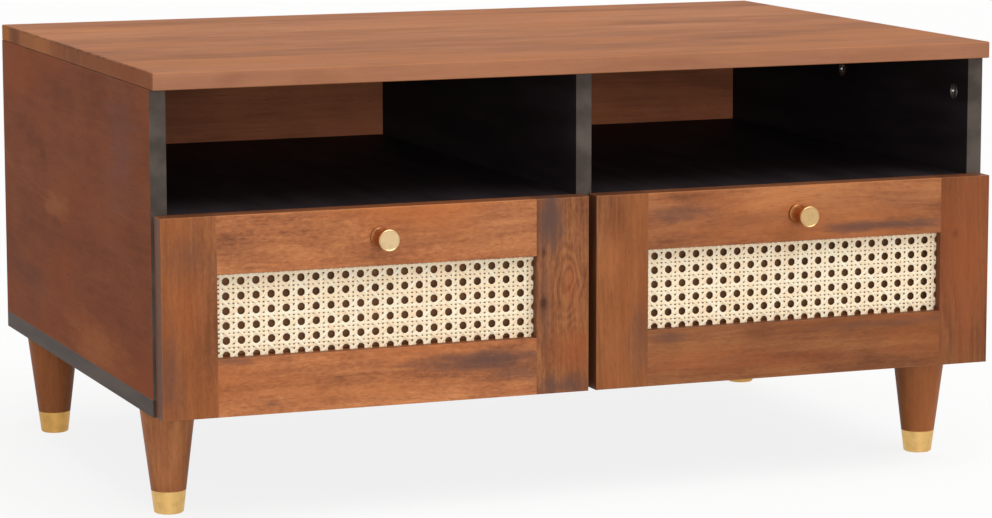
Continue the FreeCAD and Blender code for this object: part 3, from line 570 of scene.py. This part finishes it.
TOP_MARKS = [
    *marks_on(0, -400, 3, LEFT_END),
    *marks_on(0, -400, 2.6, [(17, 396, 400, 2.6, BURNT, 0.75)]),
    *marks_on(1, 283, 3, [(0, 396, 600, 3, BURNT, 0.5)]),
    *marks_on(1, -248, 3, FRONT_EDGE_MARKS),
    *marks_on(2, 395, 20, UPPER_FACE),
]
TOP_LOOKS = {"gloss": 0.015, "streak": 0.75, "cloud": 0.8, "staves": STAVE_WIDTH}
TOP_LOOKS.update({"marks": TOP_MARKS, "faces": TOP_EDGE_TONES_AND_SHEEN, "box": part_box("table_top")})
put_on(["table_top"], stained_wood("top_wood", "X", TOP_PALETTE, TOP_SHIFT, **TOP_LOOKS))
print("marks on the top:", len(TOP_MARKS))

# %% [markdown]
# ## Black boards and two-sided panels
# The shelves, the divider and the insides of the side panels share one dark charcoal finish.
# Faces that look to the front show it as a warm dark grey, and all other faces are painted
# near-black as the shade of the bays. One board can carry all these finishes, because its
# material asks which way each face looks.

# %% Black paint
# Painted shade: faces inside the bays and under the boards are painted near-black, while the front
# edges show the finish as a warm dark grey.
PAINTED_SHADE_BLACK = tone(46, 41, 44)
EDGE_GREY = tone(84, 76, 71)
EDGE_BROWN = tone(74, 60, 52)
SPECKS = ((900, 900, 900),)
BOARD_BRUSH = ((40, 6, 40), 4)
FLAT_BRUSH = ((8, 8, 60), 4)
BRUSH_SHOWS = (0.3, 0.7, 0.75, 1.3)
FRONT_FACING = (-0.5, -0.8)
OUTER_FACING = (0.5, 0.8)
PAINT_ROUGH = 0.42
SPECK_ROUGH = 0.2
PAINT_BUMP = (0.2 * MM, 0.3)
BOARD_GLOSS = 0.015
BOTTOM_ROUGH = 0.45
BOTTOM_GLOSS = 0.15
SIDE_PALETTE = (tone(106, 54, 32), tone(136, 73, 42), tone(154, 90, 55), tone(156, 80, 40))
SIDE_LOOKS = {"streak": 0.35, "cloud": 0.8}
SIDE_MARKS_AND_SHEEN = {
    "left": marks_on(0, -400, 40, [
        (81, 242, 60, 14, PALE, 0.35),
        (30, 225, 50, 12, RUST, 0.35),
        (-40, 130, 120, 26, PALE, 0.35),
        # Painted sheen: a pinkish grey patch high on the front half of the left side, as a painted
        # reflection.
        (-143, 320, 60, 70, tone(128, 84, 72), 0.5),
        (190, 160, 70, 16, SMOKE, 0.3),
        (130, 285, 14, 6, KNOT, 0.35),
    ]),
    "right": [],
}


def matt_paint(recipe, colour, brush, rough):
    """Colour, roughness and height of a matt painted surface with brush marks."""
    specks = recipe.noise(recipe.place, *SPECKS)
    brushed = recipe.shown(recipe.place, brush, BRUSH_SHOWS)
    roughness = recipe.math("MULTIPLY_ADD", specks, SPECK_ROUGH, rough)
    return recipe.shade(colour, brushed), roughness, specks


def painted_board(name, side=None):
    """Grey front edges and painted shade elsewhere; a side's outer face and rear edge are wood."""
    recipe = Recipe(name)
    look = recipe.parts(recipe.normal)
    # Faces that don't look to the front are painted near-black as shade.
    paint_and_shade = recipe.blend(recipe.remap(look[1], *FRONT_FACING), PAINTED_SHADE_BLACK, EDGE_GREY)
    colour, roughness, height = matt_paint(recipe, paint_and_shade, BOARD_BRUSH, PAINT_ROUGH)
    if side:
        way = -1.0 if side == "left" else 1.0
        shift = (0.1 * way, 0.37, 0.2)
        settings = {"marks": SIDE_MARKS_AND_SHEEN[side], "box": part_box("side_panel_" + side), **SIDE_LOOKS}
        wood = wood_colour(recipe, "Y", SIDE_PALETTE, shift, **settings)
        outside = recipe.remap(recipe.math("MULTIPLY", look[0], way), *OUTER_FACING)
        outside = recipe.math("MAXIMUM", outside, recipe.remap(look[1], *OUTER_FACING))
        colour = recipe.blend(outside, colour, wood[0])
        roughness = recipe.blend_values(outside, roughness, wood[1])
        height = recipe.blend_values(outside, height, wood[2])
    normal = recipe.bump(height, *PAINT_BUMP)
    return recipe.finish(colour, roughness, normal, Specular_IOR_Level=BOARD_GLOSS)


def edged_board(name):
    """Board with a brown grey edge all round, its top and underside near-black as painted shade."""
    recipe = Recipe(name)
    # The top and underside are painted near-black as shade, the edges brown grey.
    paint_and_shade = recipe.blend(faces_along(recipe, "Z"), EDGE_BROWN, PAINTED_SHADE_BLACK)
    colour, roughness, height = matt_paint(recipe, paint_and_shade, FLAT_BRUSH, BOTTOM_ROUGH)
    normal = recipe.bump(height, *PAINT_BUMP)
    return recipe.finish(colour, roughness, normal, Specular_IOR_Level=BOTTOM_GLOSS)


put_on(["centre_divider", "shelf_left", "shelf_right"], painted_board("black_board"))
put_on(["side_panel_left"], painted_board("left_side", "left"))
put_on(["side_panel_right"], painted_board("right_side", "right"))
put_on(["bottom_board"], edged_board("bottom_board"))
print("painted boards: 6")

# %% [markdown]
# ## Drawer fronts
# Each front is a frame of four boards: two stiles with upright grain and two rails with grain
# along the front. The left drawer's right stile is the liveliest, with a smoky top corner, an
# oval figure and small knots. The right drawer's grain is calmer than the left one's. Each board
# has its own tint and its own marks.

# %% Drawer fronts
DRAWERS = ("left_drawer", "right_drawer")
FRONT_BOARDS = {"stile_left": "Z", "stile_right": "Z", "rail_top": "X", "rail_bottom": "X"}
FRONT_PALETTE = (tone(108, 64, 40), tone(146, 90, 56), tone(172, 112, 70), tone(166, 96, 50))
FACE_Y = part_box("left_drawer_stile_left")[0].y / MM
MARK_DEPTH = 30
FRONTS = {
    "left_drawer_stile_left": (0.9, [
        (-372, 186, 14, 34, RUST, 0.4),
        (-390, 130, 12, 50, SMOKE, 0.45),
        (-376, 238, 30, 22, SMOKE, 0.3),
    ]),
    "left_drawer_stile_right": (0.9, [
        (-42, 252, 16, 34, SMOKE, 0.95),
        (-30, 103, 40, 14, SMOKE, 0.8),
        (-46, 200, 6, 70, SMOKE, 0.45),
        (-46, 224, 4, 6, KNOT, 0.85),
        (-47, 179, 5, 7, KNOT, 0.85),
        (-22, 196, 9, 26, RUST, 0.5),
        (-22, 136, 22, 22, RUST, 0.45),
    ]),
    "left_drawer_rail_top": (1.42, [
        (-332, 238, 26, 20, SMOKE, 0.15),
        (-98, 247, 80, 18, SMOKE, 0.12),
    ]),
    "left_drawer_rail_bottom": (1.5, [
        (-110, 131, 80, 12, SMOKE, 0.85),
        (-70, 117, 50, 8, SMOKE, 0.5),
        (-334, 146, 24, 5, SMOKE, 0.6),
        (-300, 106, 9, 5, SMOKE, 0.6),
        (-210, 112, 80, 10, PALE, 0.3),
    ]),
    "right_drawer_stile_left": (0.86, [
        (44, 140, 10, 42, SMOKE, 0.4),
        (18, 215, 16, 30, PALE, 0.25),
    ]),
    "right_drawer_stile_right": (0.66, [
        (363, 219, 5, 6, KNOT, 0.7),
        (374, 190, 60, 130, RUST, 0.45),
    ]),
    "right_drawer_rail_top": (1.26, [
        (80, 254, 50, 9, SMOKE, 0.55),
        (290, 231, 90, 6, SMOKE, 0.75),
        (150, 242, 90, 9, SMOKE, 0.2),
        (290, 256, 80, 10, SMOKE, 0.2),
    ]),
    "right_drawer_rail_bottom": (0.88, [
        (74, 140, 26, 7, SMOKE, 0.6),
        (290, 141, 80, 6, SMOKE, 0.4),
        (170, 112, 100, 12, RUST, 0.25),
        (100, 120, 60, 14, RUST, 0.35),
    ]),
}
FRONT_FIGURE = {"left_drawer_stile_right": [((-22, FACE_Y, 196), (19, 60, 44), 4.0)]}
FRONT_STREAKS = {"Z": 1.4, "X": 0.8}
FRONT_FLECKS = {"left_drawer": 0.75, "right_drawer": 0.4}
FRONT_CLOUD = 1.35
FRONT_EDGE = tone(84, 48, 34)
FRONT_EDGES = (("X", FRONT_EDGE, 0.6), ("Z", FRONT_EDGE, 0.6))
SHIFT_REACH = 2.0
shifts = random.Random(7)


def next_shift():
    return tuple(shifts.uniform(-SHIFT_REACH, SHIFT_REACH) for _ in range(3))


for drawer in DRAWERS:
    front_box = (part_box(drawer + "_stile_left")[0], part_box(drawer + "_stile_right")[1])
    for board, grain in FRONT_BOARDS.items():
        name = drawer + "_" + board
        tint, flat_marks = FRONTS[name]
        marks = marks_on(1, FACE_Y, MARK_DEPTH, flat_marks)
        looks = {"streak": FRONT_STREAKS[grain], "cloud": FRONT_CLOUD, "box": front_box}
        looks.update({"fleck": FRONT_FLECKS[drawer], "faces": FRONT_EDGES, "marks": marks})
        looks["figure"] = FRONT_FIGURE.get(name, ())
        palette = tinted(FRONT_PALETTE, tint)
        put_on([name], stained_wood(name + "_wood", grain, palette, next_shift(), **looks))
print("front boards:", len(FRONTS))

# %% [markdown]
# ## Back panel, legs and inside wood
# Inside, the wood is plainer: brown boards for the boxes, a pale thin sheet for their bottoms
# and pale strips for the runners.

# %% Other wood
BACK_PALETTE = (tone(112, 64, 42), tone(152, 90, 60), tone(172, 106, 72), tone(164, 92, 54))
BOX_PALETTE = (tone(96, 66, 44), tone(130, 92, 62), tone(150, 108, 74), tone(142, 98, 62))
SHEET_PALETTE = (
    tone(170, 136, 98), tone(198, 164, 122), tone(212, 182, 142), tone(204, 166, 118),
)
LEG_TINTS = {"front_left": 1.32, "front_right": 1.1, "rear_left": 0.95, "rear_right": 1.0}
LEG_SHIFT = (0.31, 0.17, 0.53)
BOX_BOARDS = {"box_side_left": "Y", "box_side_right": "Y", "box_front": "X", "box_back": "X"}
BOX_STREAK = 0.8
SHEET_STREAK = 0.7
RUNNERS = ["runner_left_outer", "runner_left_inner", "runner_right_inner", "runner_right_outer"]
SINGLE_WOODS = {
    "back_wood": (["back_panel"], "X", BACK_PALETTE, (0.7, 0.2, 0.9), 0.6, 0.8),
    "runner_wood": (RUNNERS, "Y", SHEET_PALETTE, (0.2, 0.9, 0.1), 1.0, 1.0),
    "dowel_wood": (["top_dowels", "shelf_dowels"], "Z", SHEET_PALETTE, (0.2, 0.3, 0.1), 1.0, 1.0),
}

for name, (names, grain, palette, shift, streak, cloud) in SINGLE_WOODS.items():
    put_on(names, stained_wood(name, grain, palette, shift, streak=streak, cloud=cloud))
for number, (corner, tint) in enumerate(LEG_TINTS.items()):
    shift = tuple(part * number for part in LEG_SHIFT)
    leg_wood = stained_wood("leg_wood_" + corner, "Z", tinted(FRONT_PALETTE, tint), shift)
    put_on(["leg_" + corner], leg_wood)
for drawer in DRAWERS:
    for board, grain in BOX_BOARDS.items():
        name = drawer + "_" + board
        looks = (grain, BOX_PALETTE, next_shift())
        put_on([name], stained_wood(name + "_wood", *looks, streak=BOX_STREAK))
    sheet = stained_wood(drawer + "_sheet", "X", SHEET_PALETTE, next_shift(), streak=SHEET_STREAK)
    put_on([drawer + "_box_bottom"], sheet)
    bead_wood = stained_wood(drawer + "_bead_wood", "X", FRONT_PALETTE, next_shift())
    put_on([drawer + "_cane_beads"], bead_wood)
print("finishes so far:", len(bpy.data.materials))

# %% [markdown]
# ## Metal
# The knobs and ferrules are pale brass with a satin turned skin, and the fittings are zinc and
# steel. A metal is mostly its reflections, so its colour is the tint of its shine. Turning marks
# and smudges vary the roughness. The right knob and the rear ferrules are a little darker. Both
# knobs are painted copper brown towards the drawer front, as painted shade and a painted
# reflection of the wood around them.

# %% Metal recipe
KNOB_BRASS = tone(221, 191, 145)
# The right knob and the rear ferrules take a darker brass.
KNOB_DARKER = tone(208, 172, 120)
KNOB_PAINTED_REFLECTION = tone(168, 104, 56)
FERRULE_BRASS = tone(224, 182, 114)
FERRULE_DARKER = tone(200, 154, 86)
UPRIGHT_TURNING = ((60, 60, 2600),)
KNOB_TURNING = ((2200, 60, 2200),)
SMUDGES = ((130, 130, 130),)
SMUDGE_SHOWS = (0.42, 0.7, 0.0, 0.5)
SMUDGE_SHADE = 0.75
SMUDGE_ROUGH = 0.16
TURNING_ROUGH = 0.1
ROUGH_START = -0.07
TURNING_BUMP = (0.04 * MM, 0.4)
KNOB_ROUGH = 0.24
FERRULE_ROUGH = 0.34
REFLECTION_SHARES = (0.3, 0.5)
REFLECTION_AMOUNT = 0.75


def turned_metal(name, colour, roughness, turning=UPRIGHT_TURNING, base=None):
    """Satin turned metal, with painted shade and reflection from one depth to another, if given."""
    recipe = Recipe(name)
    rings = recipe.noise(recipe.place, *turning)
    smudges = recipe.noise(recipe.place, *SMUDGES)
    dulled = recipe.remap(smudges, *SMUDGE_SHOWS)
    wear_and_painted_light = recipe.blend(dulled, colour, tuple(part * SMUDGE_SHADE for part in colour))
    # Painted shade and painted reflection of the wood: copper brown between the two depths.
    if base:
        depth = recipe.parts(recipe.place)[1]
        wear_and_painted_light = recipe.blend(recipe.remap(depth, *base, 0.0, REFLECTION_AMOUNT), wear_and_painted_light, KNOB_PAINTED_REFLECTION)
    rough = recipe.math("MULTIPLY_ADD", smudges, SMUDGE_ROUGH, roughness + ROUGH_START)
    rough = recipe.math("MULTIPLY_ADD", rings, TURNING_ROUGH, rough)
    return recipe.finish(wear_and_painted_light, rough, recipe.bump(rings, *TURNING_BUMP), Metallic=1.0)


for drawer, brass in zip(DRAWERS, (KNOB_BRASS, KNOB_DARKER)):
    knob_low, knob_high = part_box(drawer + "_knob")
    # The knob is painted copper brown towards the drawer, as shade and reflection of the wood.
    base = [knob_low.y + (knob_high.y - knob_low.y) * share for share in REFLECTION_SHARES]
    knob_skin = turned_metal(drawer + "_knob_brass", brass, KNOB_ROUGH, KNOB_TURNING, base)
    put_on([drawer + "_knob"], knob_skin)
ferrules = (("front", "ferrule_brass", FERRULE_BRASS), ("rear", "ferrule_brass_aged", FERRULE_DARKER))
for end, name, brass in ferrules:
    sleeves = ["ferrule_" + end + "_left", "ferrule_" + end + "_right"]
    put_on(sleeves, turned_metal(name, brass, FERRULE_ROUGH))
zinc = turned_metal("zinc", tone(176, 176, 172), 0.4)
steel = turned_metal("steel", tone(196, 196, 198), 0.3)
put_on(["threaded_inserts"], zinc)
put_on(["leg_bolts", "top_cam_bolts"], steel)
print("metal finishes:", zinc.name, steel.name)

# %% [markdown]
# ## Screws and cams
# The screws whose heads can be seen are made afresh, with a sunk recess, a tapered neck and a
# thread, and so are the cam discs in the bays. Each is a stack of rings, and a ring's reach may
# change with the angle, which cuts the recess. The solids give the places: their mesh is split
# into islands, one for each fitting.

# %% Places of the fittings
def islands(name):
    """The lowest and highest corner of each solid of a node."""
    shape = bmesh.new()
    shape.from_mesh(nodes[name].data)
    bmesh.ops.remove_doubles(shape, verts=shape.verts, dist=0.01 * MM)
    waiting = set(shape.verts)
    found = []
    for first in shape.verts:
        if first not in waiting:
            continue
        waiting.discard(first)
        group = [first]
        for vert in group:
            for edge in vert.link_edges:
                other = edge.other_vert(vert)
                if other in waiting:
                    waiting.discard(other)
                    group.append(other)
        low = Vector(min(vert.co[axis] for vert in group) for axis in range(3))
        high = Vector(max(vert.co[axis] for vert in group) for axis in range(3))
        found.append((low, high))
    shape.free()
    return found


print("back screws found:", len(islands("back_screws")))

# %% [markdown]
# A recess is an outline with a reach for each angle. A cross has four arms and a socket for
# a key has six flats.

# %% Recess outlines
AROUND = 24
ANGLES = [math.tau * number / AROUND for number in range(AROUND)]
SMALL = 1e-6
ARM_TURN = math.radians(15)


def cross_reach(angle, arm):
    """How far a cross reaches at an angle. Its arms are about a quarter as wide as long."""
    width = arm * math.tan(ARM_TURN)
    across, up = max(abs(math.cos(angle)), SMALL), max(abs(math.sin(angle)), SMALL)
    return max(min(arm / across, width / up), min(width / across, arm / up))


def socket_reach(angle, flat):
    """How far a six-sided socket reaches at an angle."""
    turned = angle % (math.tau / 6) - math.tau / 12
    return flat / math.cos(turned)


def round_reach(angle, radius):
    return radius


print("cross reach at 45 degrees:", round(cross_reach(math.pi / 4, 1), 3))

# %% [markdown]
# Each ring has an outline, a size and a depth below the face of the head. The first ring closes
# the floor of the recess and the last one is the point of the screw.

# %% Turning rings
RECESS_FLOOR = 0.6
LIP = 0.02 * MM
BEVEL = 0.1 * MM
FACE_SHARE, WALL_SHARE, WALL_DEPTH = 0.94, 0.98, 0.3
THREAD_PITCH, THREAD_CORE, THREAD_CREST = 0.8, 0.72, 0.98
TIP_START, TIP_END = 0.7, 0.08


def turn_rings(shape, place, rings):
    """Joins rings into one closed form whose face looks up its own axis."""
    loops = []
    for outline, reach, depth in rings:
        loop = []
        for angle in ANGLES:
            radius = outline(angle, reach)
            point = Vector((radius * math.cos(angle), radius * math.sin(angle), -depth))
            loop.append(shape.verts.new(place @ point))
        loops.append(loop)
    for upper, lower in zip(loops, loops[1:]):
        for number in range(AROUND):
            after = (number + 1) % AROUND
            shape.faces.new((upper[number], lower[number], lower[after], upper[after]))
    shape.faces.new(loops[0])
    shape.faces.new(list(reversed(loops[-1])))


def screw_rings(outline, recess, head, shank, length):
    """Rings of a screw with a recess, a head, a tapered neck, a thread and a point."""
    wide, high = head
    rings = [
        (outline, recess * RECESS_FLOOR, high * RECESS_FLOOR),
        (outline, recess, LIP),
        (round_reach, wide * FACE_SHARE, 0.0),
        (round_reach, wide, BEVEL),
        (round_reach, wide * WALL_SHARE, high * WALL_DEPTH),
        (round_reach, shank, high),
    ]
    pitch = shank * THREAD_PITCH
    turns = int((length - high * 2 - shank * 2) / pitch)
    for number in range(turns):
        depth = high * 2 + pitch * number
        rings.append((round_reach, shank * THREAD_CORE, depth))
        rings.append((round_reach, shank * THREAD_CREST, depth + pitch / 2))
    rings.append((round_reach, shank * TIP_START, length - shank * 2))
    rings.append((round_reach, shank * TIP_END, length))
    return rings


def facing(axis, way):
    """A turn that points a fitting's own axis along an axis of the table."""
    aim = Vector((0, 0, 0))
    aim["XYZ".index(axis)] = way
    return aim.to_track_quat("Z", "Y").to_matrix().to_4x4()


print("points on a ring:", AROUND)

# %% [markdown]
# A kind of screw has the outline and reach of its recess, the radius and height of its head and
# the radius of its shank. The solids are six-sided, so a round head is as wide as their flats are
# apart. A new piece stands for its solid and rides on the same body.

# %% Screws
def settle(name, shape, node, body, material):
    """Turns a finished shape into a piece that stands for a node."""
    bmesh.ops.recalc_face_normals(shape, faces=shape.faces)
    mesh = bpy.data.meshes.new(name)
    shape.to_mesh(mesh)
    shape.free()
    mesh.materials.append(material)
    piece = add_object(name, mesh)
    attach(piece, body)
    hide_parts(node)
    return piece


FLAT = math.cos(math.pi / 6) * MM
WOOD_SCREW = (cross_reach, 1.6 * MM, (3.0 * FLAT, 1.8 * MM), 1.5 * FLAT)
BASE_SCREW = (socket_reach, 2.0 * MM, (4.5 * FLAT, 3.0 * MM), 2.5 * FLAT)
KNOB_SCREW = (cross_reach, 2.2 * MM, (4.0 * FLAT, 2.4 * MM), 2.0 * FLAT)


def cut_screws(node, body, axis, way, outline, recess, head, shank):
    """Makes the screws of a node with their heads at one end of an axis."""
    shape = bmesh.new()
    number = "XYZ".index(axis)
    for low, high in islands(node):
        foot = (low + high) / 2
        foot[number] = high[number] if way > 0 else low[number]
        place = Matrix.Translation(foot) @ facing(axis, way)
        length = high[number] - low[number]
        turn_rings(shape, place, screw_rings(outline, recess, head, shank, length))
    piece = settle(node + "_cut", shape, node, body, steel)
    print(piece.name, "faces:", len(piece.data.polygons))


cut_screws("back_screws", "cabinet", "Y", 1, *WOOD_SCREW)
cut_screws("runner_screws", "cabinet", "Z", 1, *WOOD_SCREW)
cut_screws("bottom_screws", "cabinet", "Z", -1, *BASE_SCREW)
for drawer in DRAWERS:
    cut_screws(drawer + "_front_screws", drawer, "Y", 1, *WOOD_SCREW)
    cut_screws(drawer + "_knob_screw", drawer, "Y", 1, *KNOB_SCREW)

# %% [markdown]
# A cam is a zinc disc set flush into a panel, with a bevelled rim, a shallow dish and a cross for
# the driver. The cams of the right panel look left, and the others look right.

# %% Cams
CAM_RIM = 7.4 * math.cos(math.pi / 12) * MM
CAM_RINGS = [
    (cross_reach, 2.6 * MM, 2.4 * MM),
    (cross_reach, 3.4 * MM, 0.5 * MM),
    (round_reach, 4.6 * MM, 0.45 * MM),
    (round_reach, 5.2 * MM, 0.0),
    (round_reach, CAM_RIM - 0.4 * MM, 0.0),
    (round_reach, CAM_RIM, 0.4 * MM),
    (round_reach, CAM_RIM, 11.6 * MM),
    (round_reach, CAM_RIM - 0.4 * MM, 12.0 * MM),
]
cams = bmesh.new()
for low, high in islands("top_cams"):
    way = -1 if low.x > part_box("centre_divider")[1].x else 1
    face = Vector((low.x if way < 0 else high.x, (low.y + high.y) / 2, (low.z + high.z) / 2))
    turn_rings(cams, Matrix.Translation(face) @ facing("X", way), CAM_RINGS)
cam_piece = settle("top_cams_cut", cams, "top_cams", "cabinet", zinc)
print(cam_piece.name, "faces:", len(cam_piece.data.polygons))

# %% [markdown]
# ## Woven cane
# The panels are cane webbing in the traditional six-way weave. Pairs of strands stand upright,
# pairs lie across, and single strands run both ways along the diagonals, past every crossing of
# the pairs, so that their edges turn each square opening into an octagon. One set of diagonals
# goes over the upright pairs and under the lying ones, and the other does the opposite. Each
# strand is a thin ribbon with a crowned face that swings forwards and backwards as it weaves.

# %% Cane measurements
PITCH_ACROSS = 13.6 * MM
PITCH_UP = 12.9 * MM
STRAND_THICK = 0.5 * MM
UPRIGHT_OFFSET = 2.2 * MM
UPRIGHT_WIDTH = 2.85 * MM
LYING_OFFSET = 1.8 * MM
LYING_WIDTH = 2.6 * MM
SLANT_WIDTH = 2.8 * MM
WEAVE_SWING = 0.26 * MM
SLANT_SWING = 0.5 * MM
CROSSING_REACH = 1.3 * MM
FIRST_OPENING = Vector((18.0 * MM, 0, -15.3 * MM))
STEPS_PER_PITCH = 8
WIDTH_SPREAD = (0.94, 1.04)
PAIR_MARGIN = 0.25
PROFILE = [
    (-0.5, 0.1), (-0.42, -0.28), (-0.16, -0.5), (0.16, -0.5),
    (0.42, -0.28), (0.5, 0.1), (0.3, 0.5), (-0.3, 0.5),
]
print("cane pitch in mm:", PITCH_ACROSS / MM, PITCH_UP / MM)


# %% [markdown]
# A web keeps its mesh, the places of its strands and two layers of numbers. One number tells the
# strands apart and the other is the distance along each strand.

# %% Ribbons
class Web:
    """Cane webbing under construction."""

    def __init__(self, name, node):
        self.low, self.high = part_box(node)
        self.middle_y = (self.low.y + self.high.y) / 2
        self.pair_x = self.low.x + FIRST_OPENING.x - PITCH_ACROSS / 2
        self.pair_z = self.high.z + FIRST_OPENING.z - PITCH_UP / 2
        self.draws = random.Random(name)
        self.shape = bmesh.new()
        self.tone_layer = self.shape.verts.layers.float.new("strand_tone")
        self.along_layer = self.shape.verts.layers.float.new("strand_along")
        self.strands = 0

    def add_ribbon(self, path, side, width):
        """Adds one strand along a path, with a crowned front and closed ends."""
        width *= self.draws.uniform(*WIDTH_SPREAD)
        shade = self.draws.random()
        rings = []
        travelled = 0.0
        for number, place in enumerate(path):
            if number:
                travelled += (place - path[number - 1]).length
            ring = []
            for across, through in PROFILE:
                offset = side * (across * width) + Vector((0, through * STRAND_THICK, 0))
                vert = self.shape.verts.new(place + offset)
                vert[self.tone_layer] = shade
                vert[self.along_layer] = travelled
                ring.append(vert)
            rings.append(ring)
        for first, second in zip(rings, rings[1:]):
            for index in range(len(PROFILE)):
                after = (index + 1) % len(PROFILE)
                self.shape.faces.new((first[index], second[index], second[after], first[after]))
        self.shape.faces.new(rings[0])
        self.shape.faces.new(list(reversed(rings[-1])))
        self.strands += 1


def steps_between(low, high, step):
    """Even steps from low to high."""
    count = max(2, round((high - low) / step))
    return [low + (high - low) * number / count for number in range(count + 1)]


def places_between(low, high, first, pitch, offset, width):
    """Places of paired strands that fit between two sides, each with its hand in the pair."""
    places = []
    lowest = math.ceil((low - first) / pitch - PAIR_MARGIN)
    highest = math.floor((high - first) / pitch + PAIR_MARGIN)
    for number in range(lowest, highest + 1):
        for hand in (-1, 1):
            place = first + number * pitch + hand * offset
            if place - width / 2 >= low and place + width / 2 <= high:
                places.append((place, hand))
    return places


print("steps in one pitch:", STEPS_PER_PITCH)

# %% [markdown]
# Upright and lying strands cross twice in every pair, once over and once under. The two strands
# of a pair swing opposite ways.

# %% Upright and lying strands
def swing_at_pairs(place, first, pitch, offset, sign):
    """Forward or backward swing where a strand meets the two strands of each pair."""
    phase = (place - first) / pitch
    gap = (phase - math.floor(phase + 0.5)) * pitch
    before = math.exp(-((gap - offset) / CROSSING_REACH) ** 2)
    behind = math.exp(-((gap + offset) / CROSSING_REACH) ** 2)
    return sign * WEAVE_SWING * (before - behind)


def weave_uprights(web):
    pairs = (web.pair_x, PITCH_ACROSS, UPRIGHT_OFFSET, UPRIGHT_WIDTH)
    for x, hand in places_between(web.low.x, web.high.x, *pairs):
        path = []
        for z in steps_between(web.low.z, web.high.z, PITCH_UP / STEPS_PER_PITCH):
            swing = swing_at_pairs(z, web.pair_z, PITCH_UP, LYING_OFFSET, hand)
            path.append(Vector((x, web.middle_y + swing, z)))
        web.add_ribbon(path, Vector((1, 0, 0)), UPRIGHT_WIDTH)


def weave_lying(web):
    pairs = (web.pair_z, PITCH_UP, LYING_OFFSET, LYING_WIDTH)
    for z, hand in places_between(web.low.z, web.high.z, *pairs):
        path = []
        for x in steps_between(web.low.x, web.high.x, PITCH_ACROSS / STEPS_PER_PITCH):
            swing = swing_at_pairs(x, web.pair_x, PITCH_ACROSS, UPRIGHT_OFFSET, hand)
            path.append(Vector((x, web.middle_y - swing, z)))
        web.add_ribbon(path, Vector((0, 0, -1)), LYING_WIDTH)


print("swing in mm:", WEAVE_SWING / MM)

# %% [markdown]
# A slanting strand rises one pitch for every pitch that it goes along, in front at one kind of
# pair and behind at the other, up to the edge of the panel.

# %% Slanting strands
def weave_slants(web, slope):
    rise = PITCH_UP / PITCH_ACROSS
    width, height = web.high.x - web.low.x, web.high.z - web.low.z
    reach = int(width / PITCH_ACROSS + height / PITCH_UP) + 3
    side = Vector((-slope * rise, 0, 1)).normalized()
    for number in range(-reach, reach + 1):
        start_x = web.pair_x + (number + 0.5) * PITCH_ACROSS
        ends = sorted(start_x + slope * (z - web.pair_z) / rise for z in (web.low.z, web.high.z))
        from_x = max(web.low.x + SLANT_WIDTH / 2, ends[0])
        to_x = min(web.high.x - SLANT_WIDTH / 2, ends[1])
        if to_x - from_x < PITCH_ACROSS / 4:
            continue
        path = []
        for x in steps_between(from_x, to_x, PITCH_ACROSS / STEPS_PER_PITCH):
            z = web.pair_z + slope * (x - start_x) * rise
            swing = slope * SLANT_SWING * math.cos(math.tau * (x - web.pair_x) / PITCH_ACROSS)
            path.append(Vector((x, web.middle_y - swing, min(max(z, web.low.z), web.high.z))))
        web.add_ribbon(path, side, SLANT_WIDTH)


print("slant swing in mm:", SLANT_SWING / MM)

# %% [markdown]
# Cane is the outer skin of rattan: pale cream, a shade darker from strand to strand, with fine
# specks. The numbers stored in the mesh let its tone drift slowly along each strand.

# %% Cane finish
CANE_TONES = (tone(253, 222, 184), tone(255, 237, 205), tone(255, 247, 223))
CANE_BAND = (0.15, 0.5, 0.85)
CANE_WARM = tone(240, 212, 160)
CANE_LINE = tone(214, 174, 126)
SLOW = ((45, 45, 45), 2)
FINE = ((900, 300, 900), 2)
DRIFT = ((1, 1, 1), 2)
SLOW_SHOWS = (0.55, 0.75, 0.0, 0.3)
FINE_SHOWS = (0.6, 0.75, 0.0, 0.25)
DRIFT_ALONG = 30.0
DRIFT_BETWEEN = 90.0
STRAND_SHARE = 0.45
CANE_ROUGH = 0.42
CANE_BUMP = (0.08 * MM, 0.5)


def cane_finish(name):
    recipe = Recipe(name)
    strand = recipe.node("ShaderNodeAttribute", attribute_name="strand_tone")["Fac"]
    along = recipe.node("ShaderNodeAttribute", attribute_name="strand_along")["Fac"]
    fine = recipe.noise(recipe.place, *FINE)
    across = recipe.math("MULTIPLY", strand, DRIFT_BETWEEN)
    lengthwise = recipe.join(recipe.math("MULTIPLY", along, DRIFT_ALONG), across, 0.0)
    drifting = recipe.math("MULTIPLY", recipe.noise(lengthwise, *DRIFT), 1 - STRAND_SHARE)
    amount = recipe.math("MULTIPLY_ADD", strand, STRAND_SHARE, drifting)
    colour = recipe.ramp(amount, list(zip(CANE_BAND, CANE_TONES)))
    colour = recipe.blend(recipe.shown(recipe.place, SLOW, SLOW_SHOWS), colour, CANE_WARM)
    colour = recipe.blend(recipe.remap(fine, *FINE_SHOWS), colour, CANE_LINE)
    return recipe.finish(colour, CANE_ROUGH, recipe.bump(fine, *CANE_BUMP))


cane_skin = cane_finish("cane_skin")
print("cane finish:", cane_skin.name)

# %% [markdown]
# Each drawer front gets its panel, which stands for the flat net of the solid model.

# %% Weave the panels
for drawer in DRAWERS:
    name, node = drawer + "_woven_cane", drawer + "_cane_panel"
    web = Web(name, node)
    weave_uprights(web)
    weave_lying(web)
    weave_slants(web, 1)
    weave_slants(web, -1)
    panel = settle(name, web.shape, node, drawer, cane_skin)
    panel.data.polygons.foreach_set("use_smooth", [True] * len(panel.data.polygons))
    print(panel.name, "strands:", web.strands, "faces:", len(panel.data.polygons))
